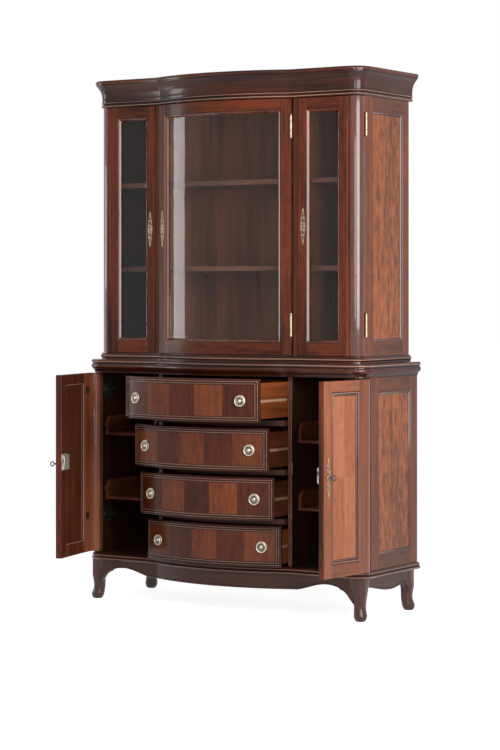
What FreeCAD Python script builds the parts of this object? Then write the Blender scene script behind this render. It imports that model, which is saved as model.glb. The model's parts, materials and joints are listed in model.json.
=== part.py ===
"""Breakfront china cabinet: glazed upper case on a lower case with doors, trays and drawers.

The case is worked out in its own coordinates: x to the right from the middle, y to the back from
the front face of the upper side doors, z up from the floor. Every sub-part is then set back by
origin_setback, so that the origin lies on the floor under the middle of the whole cabinet.
Doors and drawers are built closed and then placed at their angles and pulls.
"""
import FreeCAD
import Part
import math
import os
import re

doc = FreeCAD.newDocument("china_cabinet")

# ---------------------------------------------------------------- driving sizes, in millimetres and degrees
SIZES = [
    # heights, from the floor up
    ("leg_height", 165.0),
    ("base_board_height", 27.0),
    ("lower_body_height", 749.0),
    ("lower_top_height", 54.0),
    ("plinth_height", 27.0),
    ("upper_body_height", 1017.0),
    ("cornice_height", 111.0),
    # plan
    ("lower_half_width", 656.0),
    ("upper_half_width", 624.0),
    ("centre_half_width", 320.0),
    ("bow_rise", 70.0),
    ("lower_projection", 30.0),
    ("lower_back", 408.0),
    ("upper_back", 396.0),
    ("cornice_back", 414.0),
    ("lower_corner_radius", 60.0),
    ("upper_corner_radius", 40.0),
    ("origin_setback", 50.0),
    # case boards
    ("side_thickness", 22.0),
    ("side_panel_thickness", 10.0),
    ("side_panel_recess", 6.0),
    ("side_stile_width", 54.0),
    ("side_rail_height", 58.0),
    ("lower_partition_thickness", 18.0),
    ("upper_partition_thickness", 19.0),
    ("back_thickness", 12.0),
    ("top_board_thickness", 18.0),
    ("cornice_wall", 22.0),
    ("lower_partition_recess", 3.0),
    ("upper_partition_recess", 3.0),
    # gaps
    ("door_gap", 2.0),
    ("door_height_gap", 3.0),
    ("return_gap", 4.0),
    ("slide_clearance", 0.3),
    ("seat_clearance", 0.3),
    # shelves
    ("shelf_thickness", 20.0),
    ("shelf_front", 60.0),
    ("shelf_low_height", 337.0),
    ("shelf_high_height", 684.0),
    ("shelf_pin_radius", 3.0),
    ("shelf_pin_length", 9.0),
    ("shelf_pin_inset", 40.0),
    # upper doors
    ("upper_door_thickness", 22.0),
    ("centre_door_proud", 6.0),
    ("centre_door_side_gap", 2.0),
    ("centre_hinge_stand", 1.3),
    ("upper_stile_width", 50.0),
    ("upper_hinge_flat", 62.0),
    ("upper_bottom_rail", 61.0),
    ("upper_top_rail", 55.0),
    ("upper_return", 2.0),
    ("sight_step", 10.0),
    ("sight_step_depth", 6.0),
    ("rebate_width", 8.0),
    ("rebate_depth", 12.0),
    ("glass_thickness", 4.0),
    ("upper_keyhole_height", 508.0),
    ("upper_keyhole_inset", 25.0),
    # upper hinges
    ("knuckle_radius", 5.0),
    ("knuckle_length", 90.0),
    ("pin_radius", 2.5),
    ("pin_clearance", 0.06),
    ("leaf_thickness", 1.3),
    ("leaf_gap", 3.0),
    ("leaf_width", 18.0),
    ("hinge_low", 75.0),
    ("hinge_high", 65.0),
    # lower doors
    ("lower_door_thickness", 25.0),
    ("lower_stile_width", 50.0),
    ("lower_top_rail", 42.0),
    ("lower_bottom_rail", 50.0),
    ("lower_panel_recess", 6.0),
    ("lower_panel_thickness", 12.0),
    ("pivot_inset", 10.0),
    ("pivot_setback", 42.0),
    ("pivot_radius", 4.0),
    ("pivot_length", 18.0),
    ("pivot_collar_radius", 7.0),
    ("left_door_angle", 77.0),
    ("right_door_angle", 83.5),
    ("lower_keyhole_height", 381.0),
    ("lower_keyhole_inset", 28.0),
    # lock and key
    ("lock_width", 40.0),
    ("lock_height", 76.0),
    ("lock_depth", 13.0),
    ("lock_chamber_radius", 9.0),
    ("lock_chamber_depth", 7.0),
    ("keyhole_radius", 3.2),
    ("key_radius", 2.5),
    ("key_length", 20.0),
    ("key_bow_radius", 8.0),
    ("key_bow_wire", 2.2),
    ("key_bit_height", 7.5),
    ("key_bit_length", 5.0),
    ("key_bit_thickness", 2.4),
    ("key_collar_radius", 4.0),
    ("key_collar_length", 3.0),
    ("key_collar_setback", 4.0),
    ("plate_thickness", 1.5),
    ("lock_edge_inset", 4.0),
    ("strike_setback", 1.0),
    # escutcheons
    ("escutcheon_reach", 74.0),
    ("escutcheon_bar", 6.0),
    ("escutcheon_middle", 9.5),
    ("keyhole_slot_width", 2.4),
    ("keyhole_slot_drop", 7.0),
    # concealed hinges of the lower doors
    ("cup_radius", 15.0),
    ("cup_depth", 3.0),
    ("concealed_low", 124.0),
    ("concealed_high", 41.0),
    ("concealed_height", 62.0),
    ("hinge_mount_thickness", 4.0),
    ("hinge_mount_setback", 4.0),
    ("hinge_mount_depth", 60.0),
    ("hinge_bridge_length", 9.0),
    ("hinge_bridge_inset", 12.0),
    ("hinge_arm_thickness", 14.0),
    ("hinge_arm_height", 18.0),
    ("hinge_arm_gap", 4.0),
    ("hinge_arm_inset", 6.0),
    # drawers
    ("drawer_one_height", 168.0),
    ("drawer_two_height", 168.0),
    ("drawer_three_height", 168.0),
    ("drawer_rail_height", 22.0),
    ("drawer_gap", 2.0),
    ("drawer_front_thickness", 22.0),
    ("drawer_side_thickness", 14.0),
    ("drawer_side_gap", 2.0),
    ("drawer_depth", 350.0),
    ("drawer_bottom_thickness", 6.0),
    ("drawer_bottom_lift", 4.0),
    ("drawer_box_lift", 12.0),
    ("drawer_box_drop", 18.0),
    ("drawer_one_pull", 210.0),
    ("drawer_two_pull", 145.0),
    ("drawer_three_pull", 107.0),
    ("drawer_four_pull", 54.0),
    ("rail_recess", 6.0),
    ("rail_depth", 60.0),
    ("runner_height", 12.0),
    ("groove_depth", 8.0),
    ("runner_setback", 12.0),
    ("tray_runner_setback", 40.0),
    # trays
    ("tray_inner", 341.0),
    ("tray_outer", 600.0),
    ("tray_front", 8.0),
    ("tray_back", 372.0),
    ("tray_height", 80.0),
    ("tray_board", 10.0),
    ("tray_wall", 14.0),
    ("tray_corner_radius", 36.0),
    ("tray_low_height", 222.0),
    ("tray_high_height", 488.0),
    # ring pulls
    ("pull_offset", 246.0),
    ("rosette_radius", 22.0),
    ("rosette_thickness", 2.0),
    ("boss_radius", 7.0),
    ("boss_length", 6.0),
    ("ring_radius", 18.5),
    ("ring_wire", 2.5),
    ("ring_stand", 7.5),
    ("ring_eye_height", 17.0),
    ("eye_clearance", 0.6),
    ("eye_width", 4.5),
    ("eye_wall", 1.6),
    # aprons and legs
    ("apron_drop", 61.0),
    ("apron_thickness", 20.0),
    ("apron_recess", 8.0),
    ("arch_offset", 485.0),
    ("arch_half_width", 110.0),
    ("arch_rise", 30.0),
    ("side_arch_half_width", 95.0),
    ("side_arch_inset", 90.0),
    ("leg_inset_x", 44.0),
    ("leg_inset_y", 44.0),
    # each leg's radii and how far each stands out along the corner's diagonal
    ("knee_radius", 37.0),
    ("knee_shift", 7.0),
    ("calf_radius", 25.0),
    ("calf_shift", 21.0),
    ("ankle_radius", 22.5),
    ("ankle_shift", 18.0),
    ("pad_radius", 25.3),
    ("pad_shift", 25.0),
    ("foot_radius", 16.5),
    ("foot_shift", 26.0),
    ("knee_block_reach", 60.0),
    ("knee_block_drop", 26.0),
    ("knee_block_hollow", 38.0),
    ("knee_block_lap", 8.0),
]

# ---------------------------------------------------------------- places worked out from the sizes
PLACES = [
    ("lower_floor", "leg_height + base_board_height"),
    ("lower_ceiling", "lower_floor + lower_body_height"),
    ("case_split", "lower_ceiling + lower_top_height"),
    ("upper_floor", "case_split + plinth_height"),
    ("upper_ceiling", "upper_floor + upper_body_height"),
    ("cabinet_top", "upper_ceiling + cornice_height"),
    ("lower_front", "-lower_projection"),
    ("upper_front", "0"),
    ("lower_inner", "lower_half_width - side_thickness"),
    ("upper_inner", "upper_half_width - side_thickness"),
    ("lower_post_front", "lower_front + lower_corner_radius + return_gap"),
    ("lower_panel_back", "lower_back - back_thickness"),
    ("upper_panel_back", "upper_back - back_thickness"),
    # the bowed middle: one radius, struck from a centre behind each front
    ("bow_radius", "(centre_half_width^2 + bow_rise^2) / (2 * bow_rise)"),
    ("drawer_bow_centre", "lower_front + bow_radius - bow_rise"),
    ("door_bow_centre", "bow_radius - bow_rise - centre_door_proud"),
    # upper doors
    ("upper_door_bottom", "upper_floor + door_gap"),
    ("upper_door_top", "upper_ceiling - door_gap"),
    ("upper_glass_bottom", "upper_door_bottom + upper_bottom_rail"),
    ("upper_glass_top", "upper_door_top - upper_top_rail"),
    ("centre_door_edge", "centre_half_width - centre_door_side_gap"),
    ("upper_post_inner", "centre_door_edge + leaf_gap"),
    ("upper_post_outer", "upper_post_inner + upper_partition_thickness"),
    ("side_door_edge", "upper_post_outer + door_gap"),
    ("side_glass_inner", "side_door_edge + upper_stile_width"),
    ("side_corner_start", "upper_half_width - upper_corner_radius"),
    ("side_glass_outer", "side_corner_start - upper_hinge_flat"),
    ("centre_glass_edge", "centre_door_edge - upper_stile_width"),
    ("upper_door_return", "upper_corner_radius + upper_return"),
    ("upper_side_front", "upper_door_return + leaf_gap"),
    ("side_hinge_x", "upper_half_width + knuckle_radius"),
    ("side_hinge_y", "upper_door_return + leaf_gap / 2"),
    ("centre_hinge_x", "centre_door_edge + leaf_gap / 2"),
    ("centre_hinge_y", "-centre_door_proud - knuckle_radius - centre_hinge_stand"),
    ("upper_keyhole", "upper_door_bottom + upper_keyhole_height"),
    # hinge_high and concealed_high are measured down from the top, the low ones up from the foot
    ("hinge_low_start", "upper_door_bottom + hinge_low"),
    ("hinge_high_start", "upper_door_top - hinge_high - knuckle_length"),
    ("concealed_low_start", "lower_floor + concealed_low"),
    ("concealed_high_start", "lower_ceiling - concealed_high - concealed_height"),
    ("mount_x", "lower_inner - hinge_mount_thickness"),
    ("mount_front", "lower_front + lower_corner_radius + return_gap + hinge_mount_setback"),
    ("mount_back", "mount_front + hinge_mount_depth"),
    ("arm_x", "mount_x - hinge_bridge_length"),
    # lower doors
    ("lower_door_bottom", "lower_floor + door_height_gap"),
    ("lower_door_top", "lower_ceiling - door_height_gap"),
    ("lower_door_edge", "centre_half_width + door_gap"),
    ("lower_door_inside", "lower_front + lower_door_thickness"),
    ("lower_corner_start", "lower_half_width - lower_corner_radius"),
    ("lower_panel_inner", "lower_door_edge + lower_stile_width"),
    ("lower_panel_outer", "lower_corner_start - lower_stile_width"),
    ("lower_panel_bottom", "lower_door_bottom + lower_bottom_rail"),
    ("lower_panel_top", "lower_door_top - lower_top_rail"),
    ("lower_corner_middle", "lower_front + lower_corner_radius"),
    ("pivot_x", "lower_half_width - pivot_inset"),
    ("pivot_y", "lower_front + pivot_setback"),
    ("lower_keyhole", "lower_door_bottom + lower_keyhole_height"),
    ("lower_keyhole_x", "lower_door_edge + lower_keyhole_inset"),
    # drawers, from the top one down
    ("drawer_one_top", "lower_ceiling - door_height_gap"),
    ("drawer_one_bottom", "drawer_one_top - drawer_one_height"),
    ("drawer_two_top", "drawer_one_bottom - drawer_rail_height - 2 * drawer_gap"),
    ("drawer_two_bottom", "drawer_two_top - drawer_two_height"),
    ("drawer_three_top", "drawer_two_bottom - drawer_rail_height - 2 * drawer_gap"),
    ("drawer_three_bottom", "drawer_three_top - drawer_three_height"),
    ("drawer_four_top", "drawer_three_bottom - drawer_rail_height - 2 * drawer_gap"),
    ("drawer_four_bottom", "lower_floor + drawer_gap"),
    ("partition_inner", "centre_half_width - lower_partition_thickness"),
    ("partition_front", "lower_front + drawer_front_thickness + lower_partition_recess"),
    ("drawer_side_outer", "partition_inner - drawer_side_gap"),
    ("drawer_side_inner", "drawer_side_outer - drawer_side_thickness"),
    # aprons and legs
    ("apron_bottom", "leg_height - apron_drop"),
    ("apron_front", "lower_front + apron_recess"),
    ("leg_x", "lower_half_width - leg_inset_x"),
    ("leg_front_y", "lower_front + leg_inset_y"),
    ("leg_back_y", "lower_back - leg_inset_y"),
]

size_names = {name for name, _ in SIZES}
place_names = {name for name, _ in PLACES}


def formula(text):
    """An expression with each size and place written as a cell of its sheet."""
    def cell(match):
        word = match.group(0)
        if word in size_names:
            return "Sizes." + word
        if word in place_names:
            return "Places." + word
        return word
    return re.sub(r"[a-z][a-z_]*", cell, str(text))


sizes = doc.addObject("Spreadsheet::Sheet", "Sizes")
for row, (name, value) in enumerate(SIZES, start=1):
    sizes.set("A%d" % row, name)
    sizes.set("B%d" % row, str(value))
    sizes.setAlias("B%d" % row, name)
doc.recompute()

places = doc.addObject("Spreadsheet::Sheet", "Places")
for row, (name, text) in enumerate(PLACES, start=1):
    places.set("A%d" % row, name)
    places.setAlias("B%d" % row, name)
    places.set("B%d" % row, "=" + formula(text).replace("Places.", ""))
doc.recompute()


def amount(name):
    """The number held in the cell of that name."""
    sheet = sizes if name in size_names else places
    return float(sheet.get(name))


# ---------------------------------------------------------------- pieces bound to the sheets
def bind(piece, **expressions):
    """Bind properties of a piece to formulas; a double underscore stands for a dot."""
    for key, text in expressions.items():
        piece.setExpression(key.replace("__", "."), formula(text))
    return piece


def put(piece, x="0", y="0", z="0"):
    return bind(piece, Placement__Base__x=x, Placement__Base__y=y, Placement__Base__z=z)


def board(name, x, y, z):
    """A box between two formulas on each axis."""
    piece = doc.addObject("Part::Box", name)
    bind(piece,
         Length="(%s) - (%s)" % (x[1], x[0]),
         Width="(%s) - (%s)" % (y[1], y[0]),
         Height="(%s) - (%s)" % (z[1], z[0]))
    return put(piece, x[0], y[0], z[0])


TURNS = {
    "x": (FreeCAD.Vector(0, 1, 0), 90.0),
    "y": (FreeCAD.Vector(1, 0, 0), -90.0),
    "z": (FreeCAD.Vector(0, 0, 1), 0.0),
}


def turned(piece, axis):
    """Point a round piece, made along z, along another axis."""
    vector, angle = TURNS[axis]
    piece.Placement = FreeCAD.Placement(FreeCAD.Vector(), FreeCAD.Rotation(vector, angle))
    return piece


def rod(name, axis, at, radius, length):
    """A cylinder that starts at a point and runs along an axis."""
    piece = turned(doc.addObject("Part::Cylinder", name), axis)
    bind(piece, Radius=radius, Height=length)
    return put(piece, *at)


def ball(name, at, radius):
    piece = doc.addObject("Part::Sphere", name)
    bind(piece, Radius=radius)
    return put(piece, *at)


def hoop(name, axis, at, radius, wire):
    piece = turned(doc.addObject("Part::Torus", name), axis)
    bind(piece, Radius1=radius, Radius2=wire)
    return put(piece, *at)


def group(name, pieces):
    piece = doc.addObject("Part::Compound", name)
    piece.Links = pieces
    return piece


def fused(name, pieces):
    piece = doc.addObject("Part::MultiFuse", name)
    piece.Shapes = pieces
    piece.Refine = True
    return piece


def shared(name, pieces):
    piece = doc.addObject("Part::MultiCommon", name)
    piece.Shapes = pieces
    return piece


def cut(name, base, tools):
    """The base less each tool in turn."""
    piece = base
    for number, tool in enumerate(tools, start=1):
        result = doc.addObject("Part::Cut", "%s_cut_%d" % (name, number))
        result.Base = piece
        result.Tool = tool
        piece = result
    return piece


def neg(text):
    return "-(%s)" % text


def span(side, inner, outer):
    """The x range between two distances from the middle, on the left (-1) or the right (1)."""
    return (inner, outer) if side > 0 else (neg(outer), neg(inner))


def signed(side, text):
    return text if side > 0 else neg(text)


def band(name, centre, outer, inner, x, z):
    """A bowed board: the ring between two radii, kept between two x values, in front of its centre."""
    height = "(%s) - (%s)" % (z[1], z[0])
    disc = rod(name + "_disc", "z", ("0", centre, z[0]), outer, height)
    core = rod(name + "_core", "z", ("0", centre, z[0]), inner, height)
    keep = board(name + "_keep", x, ("-2 * centre_half_width", "centre_half_width"), z)
    return shared(name, [cut(name, disc, [core]), keep])


SIDES = (("left", -1), ("right", 1))
nodes = []


def node(name, pieces):
    """A sub-part of the fixed case, set back to the origin."""
    piece = group(name, pieces)
    piece.Label = name
    bind(piece, Placement__Base__y="-origin_setback")
    nodes.append(piece)
    return piece


def slid_node(name, pieces, pull):
    """A sub-part that is pulled forward."""
    piece = node(name, pieces)
    return bind(piece, Placement__Base__y="-origin_setback - (%s)" % pull)


def swung_node(name, pieces, side, x, y, angle):
    """A sub-part that is turned on an upright axis; each side opens forward and outward."""
    piece = node(name, pieces)
    turn = signed(side, angle)
    px = signed(side, x)
    return bind(
        piece,
        Placement__Rotation__Angle=turn,
        Placement__Base__x="(%s) * (1 - cos(%s)) + (%s) * sin(%s)" % (px, turn, y, turn),
        Placement__Base__y="(%s) * (1 - cos(%s)) - (%s) * sin(%s) - origin_setback" % (y, turn, px, turn),
    )


# ---------------------------------------------------------------- moulded boards that follow the front
def front_outline(half, front, corner, back, offset, height):
    """The plan line of a breakfront board: straight flanks, round corners, a bow in the middle."""
    half = half + offset
    front = front - offset
    corner = corner + offset
    step = amount("centre_half_width")
    diagonal = corner * (1 - math.sqrt(0.5))

    def point(x, y):
        return FreeCAD.Vector(x, y, height)
    edges = [
        Part.LineSegment(point(-half, back), point(-half, front + corner)),
        Part.Arc(point(-half, front + corner), point(-half + diagonal, front + diagonal),
                 point(-half + corner, front)),
        Part.LineSegment(point(-half + corner, front), point(-step, front)),
        Part.Arc(point(-step, front), point(0, front - amount("bow_rise")), point(step, front)),
        Part.LineSegment(point(step, front), point(half - corner, front)),
        Part.Arc(point(half - corner, front), point(half - diagonal, front + diagonal),
                 point(half, front + corner)),
        Part.LineSegment(point(half, front + corner), point(half, back)),
        Part.LineSegment(point(half, back), point(-half, back)),
    ]
    return Part.Wire([edge.toShape() for edge in edges])


def moulded(name, plan, bottom, height, profile):
    """A board whose edge follows a profile of (share of the height, offset outward)."""
    half, front, corner, back = [amount(part) for part in plan]
    wires = [front_outline(half, front, corner, back, offset, bottom + height * share)
             for share, offset in profile]
    piece = doc.addObject("Part::Feature", name)
    piece.Shape = Part.makeLoft(wires, True, True)
    return piece


LOWER_PLAN = ("lower_half_width", "lower_front", "lower_corner_radius", "lower_back")
UPPER_PLAN = ("upper_half_width", "upper_front", "upper_corner_radius")
BASE_PROFILE = [(0.0, 11), (0.06, 15), (0.42, 15), (0.48, 10), (0.54, 12), (0.88, 12), (1.0, 6)]
LOWER_TOP_PROFILE = [(0.0, 2), (0.1, 3), (0.22, 7), (0.31, 13), (0.33, 15), (0.66, 15), (0.72, 11),
                     (0.76, 16), (1.0, 16)]
PLINTH_PROFILE = [(0.0, 8), (0.28, 8), (0.34, 12), (0.82, 12), (0.9, 7), (1.0, 5)]
CORNICE_PROFILE = [(0.0, 4), (0.05, 9), (0.11, 9), (0.13, 5), (0.15, 10), (0.2, 10), (0.22, 6), (0.3, 7),
                   (0.42, 10), (0.54, 15), (0.65, 21), (0.75, 27), (0.83, 31), (0.86, 34), (1.0, 34)]

node("base_board", [moulded("base_board_solid", LOWER_PLAN, amount("leg_height"),
                            amount("base_board_height"), BASE_PROFILE)])
node("lower_top_board", [moulded("lower_top_solid", LOWER_PLAN, amount("lower_ceiling"),
                                 amount("lower_top_height"), LOWER_TOP_PROFILE)])

# The upper case steps in from the lower one.
node("upper_base_board", [moulded("plinth_solid", UPPER_PLAN + ("upper_back",), amount("case_split"),
                                  amount("plinth_height"), PLINTH_PROFILE)])
cornice_block = moulded("cornice_block", UPPER_PLAN + ("cornice_back",), amount("upper_ceiling"),
                        amount("cornice_height"), CORNICE_PROFILE)
# The cornice is a frame of three members round a recessed top: the sides butt on the front.
wall_x = "upper_half_width - cornice_wall"
recess = board("cornice_recess", (neg(wall_x), wall_x), ("cornice_wall", "cornice_back + 1"),
               ("upper_ceiling", "cabinet_top + 1"))
ring = cut("cornice_ring", cornice_block, [recess])
front_member = cut("cornice_front", ring, [
    board("cornice_rear_half", ("-2 * upper_half_width", "2 * upper_half_width"),
          ("cornice_wall", "2 * cornice_back"), ("upper_ceiling - 1", "cabinet_top + 1"))])
side_members = []
for side_name, side in SIDES:
    keep = board("cornice_keep_" + side_name, span(side, "0", "2 * upper_half_width"),
                 ("cornice_wall", "2 * cornice_back"), ("upper_ceiling - 1", "cabinet_top + 1"))
    side_members.append(shared("cornice_member_" + side_name, [ring, keep]))
node("cornice", [front_member] + side_members)
node("upper_top_board", [board(
    "upper_top_solid", (neg(wall_x), wall_x), ("cornice_wall", "cornice_back"),
    ("upper_ceiling", "upper_ceiling + top_board_thickness"))])

# ---------------------------------------------------------------- legs and aprons
# (share of the height, the lower form, the upper form, how far from the lower to the upper)
LEG_SECTIONS = [(0.0, "foot", "pad", 0.0), (0.05, "foot", "pad", 0.65), (0.135, "foot", "pad", 1.0),
                (0.24, "pad", "ankle", 0.75), (0.34, "pad", "ankle", 1.0), (0.455, "ankle", "calf", 0.35),
                (0.58, "ankle", "calf", 1.0), (0.73, "calf", "knee", 0.45), (0.88, "calf", "knee", 0.85),
                (1.0, "calf", "knee", 1.0)]


def leg_amount(lower, upper, share, kind):
    start = amount(lower + kind)
    return start + (amount(upper + kind) - start) * share


def cabriole(name, x, y, toward_x, toward_y):
    """A leg that swells at the knee and curls out at the foot, away from the case."""
    wires = []
    for height, lower, upper, share in LEG_SECTIONS:
        radius = leg_amount(lower, upper, share, "_radius")
        reach = leg_amount(lower, upper, share, "_shift") * math.sqrt(0.5)
        centre = FreeCAD.Vector(x + toward_x * reach, y + toward_y * reach,
                                amount("leg_height") * height)
        wires.append(Part.Wire([Part.Circle(centre, FreeCAD.Vector(0, 0, 1), radius).toShape()]))
    piece = doc.addObject("Part::Feature", name)
    piece.Shape = Part.makeLoft(wires, True, False)
    return piece


legs = []
for side_name, side in SIDES:
    legs.append(cabriole("leg_front_" + side_name, side * amount("leg_x"), amount("leg_front_y"), side, -1))
    legs.append(cabriole("leg_back_" + side_name, side * amount("leg_x"), amount("leg_back_y"), side, 1))
node("cabriole_legs", legs)

arch_radius = "(arch_half_width^2 + arch_rise^2) / (2 * arch_rise)"
side_arch_radius = "(side_arch_half_width^2 + arch_rise^2) / (2 * arch_rise)"
apron_centre = "apron_front + bow_radius - bow_rise"
apron_z = ("apron_bottom", "leg_height")
knee_block_z = ("apron_bottom - knee_block_drop", "apron_bottom + arch_rise")
apron_parts = [band("apron_bow", apron_centre, "bow_radius", "bow_radius - apron_thickness",
                    ("-centre_half_width", "centre_half_width"), apron_z)]
for side_name, side in SIDES:
    flank = board("apron_flank_" + side_name, span(side, "centre_half_width", "leg_x"),
                  ("apron_front", "apron_front + apron_thickness"), apron_z)
    arch = rod("apron_arch_" + side_name, "y",
               (signed(side, "arch_offset"), "apron_front - 1",
                "apron_bottom + arch_rise - " + arch_radius), arch_radius, "apron_thickness + 2")
    leg = legs[0] if side < 0 else legs[2]
    flank = cut("apron_flank_" + side_name, flank, [arch, leg])
    # the knee block fills the corner between the arch and the leg, with a hollow lower edge
    block = board("knee_block_" + side_name,
                  span(side, "leg_x - knee_block_reach", "leg_x + knee_block_lap"),
                  ("apron_front", "apron_front + apron_thickness"), knee_block_z)
    hollow = rod("knee_hollow_" + side_name, "y",
                 (signed(side, "leg_x - knee_block_reach"), "apron_front - 1",
                  "apron_bottom - knee_block_drop"), "knee_block_hollow", "apron_thickness + 2")
    apron_parts += [flank, cut("knee_block_" + side_name, block, [flank, hollow, leg])]
side_aprons = []
for side_name, side in SIDES:
    outer = "lower_half_width - apron_recess"
    rail = board("side_apron_board_" + side_name, span(side, outer + " - apron_thickness", outer),
                 ("leg_front_y", "leg_back_y"), apron_z)
    tools = []
    for end_name, place in (("front", "leg_front_y + side_arch_inset / 2"),
                            ("back", "leg_back_y - side_arch_inset / 2")):
        start = signed(side, outer + " - apron_thickness - 1")
        start = start if side > 0 else neg(outer + " + 1")
        tools.append(rod("side_arch_%s_%s" % (end_name, side_name), "x",
                         (start, place, "apron_bottom + arch_rise - " + side_arch_radius),
                         side_arch_radius, "apron_thickness + 2"))
    own_legs = legs[0:2] if side < 0 else legs[2:4]
    side_aprons.append(cut("side_apron_" + side_name, rail, tools + own_legs))
node("aprons", apron_parts + side_aprons)


# ---------------------------------------------------------------- framed sides, partitions and backs
def framed_side(name, side, outer, inner, front, back, floor, ceiling):
    """Two stiles and two rails round a thinner panel, set in from the outer face."""
    x = span(side, inner, outer)
    panel_x = span(side, "%s - side_panel_recess - side_panel_thickness" % outer,
                   "%s - side_panel_recess" % outer)
    mid = (front + " + side_stile_width", back + " - side_stile_width")
    z = (floor, ceiling)
    return [
        board(name + "_front_stile", x, (front, mid[0]), z),
        board(name + "_back_stile", x, (mid[1], back), z),
        board(name + "_bottom_rail", x, mid, (floor, floor + " + side_rail_height")),
        board(name + "_top_rail", x, mid, (ceiling + " - side_rail_height", ceiling)),
        board(name + "_panel", panel_x, mid,
              (floor + " + side_rail_height", ceiling + " - side_rail_height")),
    ]


lower_side_pieces = []
upper_side_pieces = []
lower_partitions = []
upper_partitions = []
for side_name, side in SIDES:
    lower_side_pieces += framed_side("lower_side_" + side_name, side, "lower_half_width", "lower_inner",
                                     "lower_post_front", "lower_back", "lower_floor", "lower_ceiling")
    upper_side_pieces += framed_side("upper_side_" + side_name, side, "upper_half_width", "upper_inner",
                                     "upper_side_front", "upper_back", "upper_floor", "upper_ceiling")
    lower_partitions.append(board(
        "lower_partition_" + side_name, span(side, "partition_inner", "centre_half_width"),
        ("partition_front", "lower_panel_back"), ("lower_floor", "lower_ceiling")))
    upper_partitions.append(board(
        "upper_partition_" + side_name, span(side, "upper_post_inner", "upper_post_outer"),
        ("upper_partition_recess", "upper_panel_back"), ("upper_floor", "upper_ceiling")))
node("lower_sides", lower_side_pieces)
node("upper_sides", upper_side_pieces)
node("upper_partitions", upper_partitions)
node("lower_back_panel", [board("lower_back_solid", ("-lower_inner", "lower_inner"),
                                ("lower_panel_back", "lower_back"), ("lower_floor", "lower_ceiling"))])
node("upper_back_panel", [board("upper_back_solid", ("-upper_inner", "upper_inner"),
                                ("upper_panel_back", "upper_back"), ("upper_floor", "upper_ceiling"))])
node("lower_partitions", lower_partitions)

# Bowed rails between the drawer fronts, a little behind them.
rails = []
for rail_name, above in (("one", "drawer_one_bottom"), ("two", "drawer_two_bottom"),
                         ("three", "drawer_three_bottom")):
    z = (above + " - drawer_gap - drawer_rail_height", above + " - drawer_gap")
    disc = rod("rail_disc_" + rail_name, "z", ("0", "drawer_bow_centre + rail_recess", z[0]),
               "bow_radius", "drawer_rail_height")
    keep = board("rail_keep_" + rail_name, ("-partition_inner", "partition_inner"),
                 ("-2 * centre_half_width", "rail_depth"), z)
    rails.append(shared("drawer_rail_" + rail_name, [disc, keep]))
node("drawer_rails", rails)

# ---------------------------------------------------------------- shelves and their pins
shelf_bays = (
    ("left", "-upper_inner", "-upper_post_outer"),
    ("middle", "-upper_post_inner", "upper_post_inner"),
    ("right", "upper_post_outer", "upper_inner"),
)
shelves = []
pins = []
for bay, low_x, high_x in shelf_bays:
    for level, height in (("low", "shelf_low_height"), ("high", "shelf_high_height")):
        tag = "%s_%s" % (bay, level)
        underside = "upper_floor + " + height
        shelves.append(board("shelf_" + tag, (low_x + " + seat_clearance", high_x + " - seat_clearance"),
                             ("shelf_front", "upper_panel_back - seat_clearance"),
                             (underside, underside + " + shelf_thickness")))
        for depth_name, depth in (("front", "shelf_front + shelf_pin_inset"),
                                  ("back", "upper_panel_back - shelf_pin_inset")):
            at_z = underside + " - shelf_pin_radius"
            pins.append(rod("pin_%s_%s_a" % (tag, depth_name), "x", (low_x, depth, at_z),
                            "shelf_pin_radius", "shelf_pin_length"))
            pins.append(rod("pin_%s_%s_b" % (tag, depth_name), "x",
                            (high_x + " - shelf_pin_length", depth, at_z),
                            "shelf_pin_radius", "shelf_pin_length"))
node("shelves", shelves)
node("shelf_pins", pins)


# ---------------------------------------------------------------- brass fittings
# (height, radius, radius of the piercing), each as a share of the plate's reach
ESCUTCHEON_LOBES = ((0.27, 0.081, 0), (0.514, 0.115, 0.046), (0.757, 0.081, 0), (0.946, 0.095, 0.038))


def escutcheon(name, x, y, z):
    """A pierced plate of round lobes on a bar, with a keyhole; it stands forward of y."""
    start = "(%s) - plate_thickness" % y
    before = start + " - 1"
    through = "plate_thickness + 2"
    lobes = [board(name + "_bar", (x + " - escutcheon_bar / 2", x + " + escutcheon_bar / 2"), (start, y),
                   (z + " - escutcheon_reach", z + " + escutcheon_reach")),
             rod(name + "_middle", "y", (x, start, z), "escutcheon_middle", "plate_thickness")]
    holes = [rod(name + "_keyhole", "y", (x, before, z), "keyhole_radius", through),
             board(name + "_slot", (x + " - keyhole_slot_width / 2", x + " + keyhole_slot_width / 2"),
                   (before, y + " + 1"), (z + " - keyhole_slot_drop", z))]
    for sign_name, sign in (("up", "+"), ("down", "-")):
        for number, (height, radius, piercing) in enumerate(ESCUTCHEON_LOBES):
            tag = "%s_%s_%d" % (name, sign_name, number)
            at_z = "%s %s escutcheon_reach * %s" % (z, sign, height)
            lobes.append(rod(tag, "y", (x, start, at_z), "escutcheon_reach * %s" % radius,
                             "plate_thickness"))
            if piercing:
                holes.append(rod(tag + "_hole", "y", (x, before, at_z),
                                 "escutcheon_reach * %s" % piercing, through))
    return cut(name, fused(name + "_lobes", lobes), holes)


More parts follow.
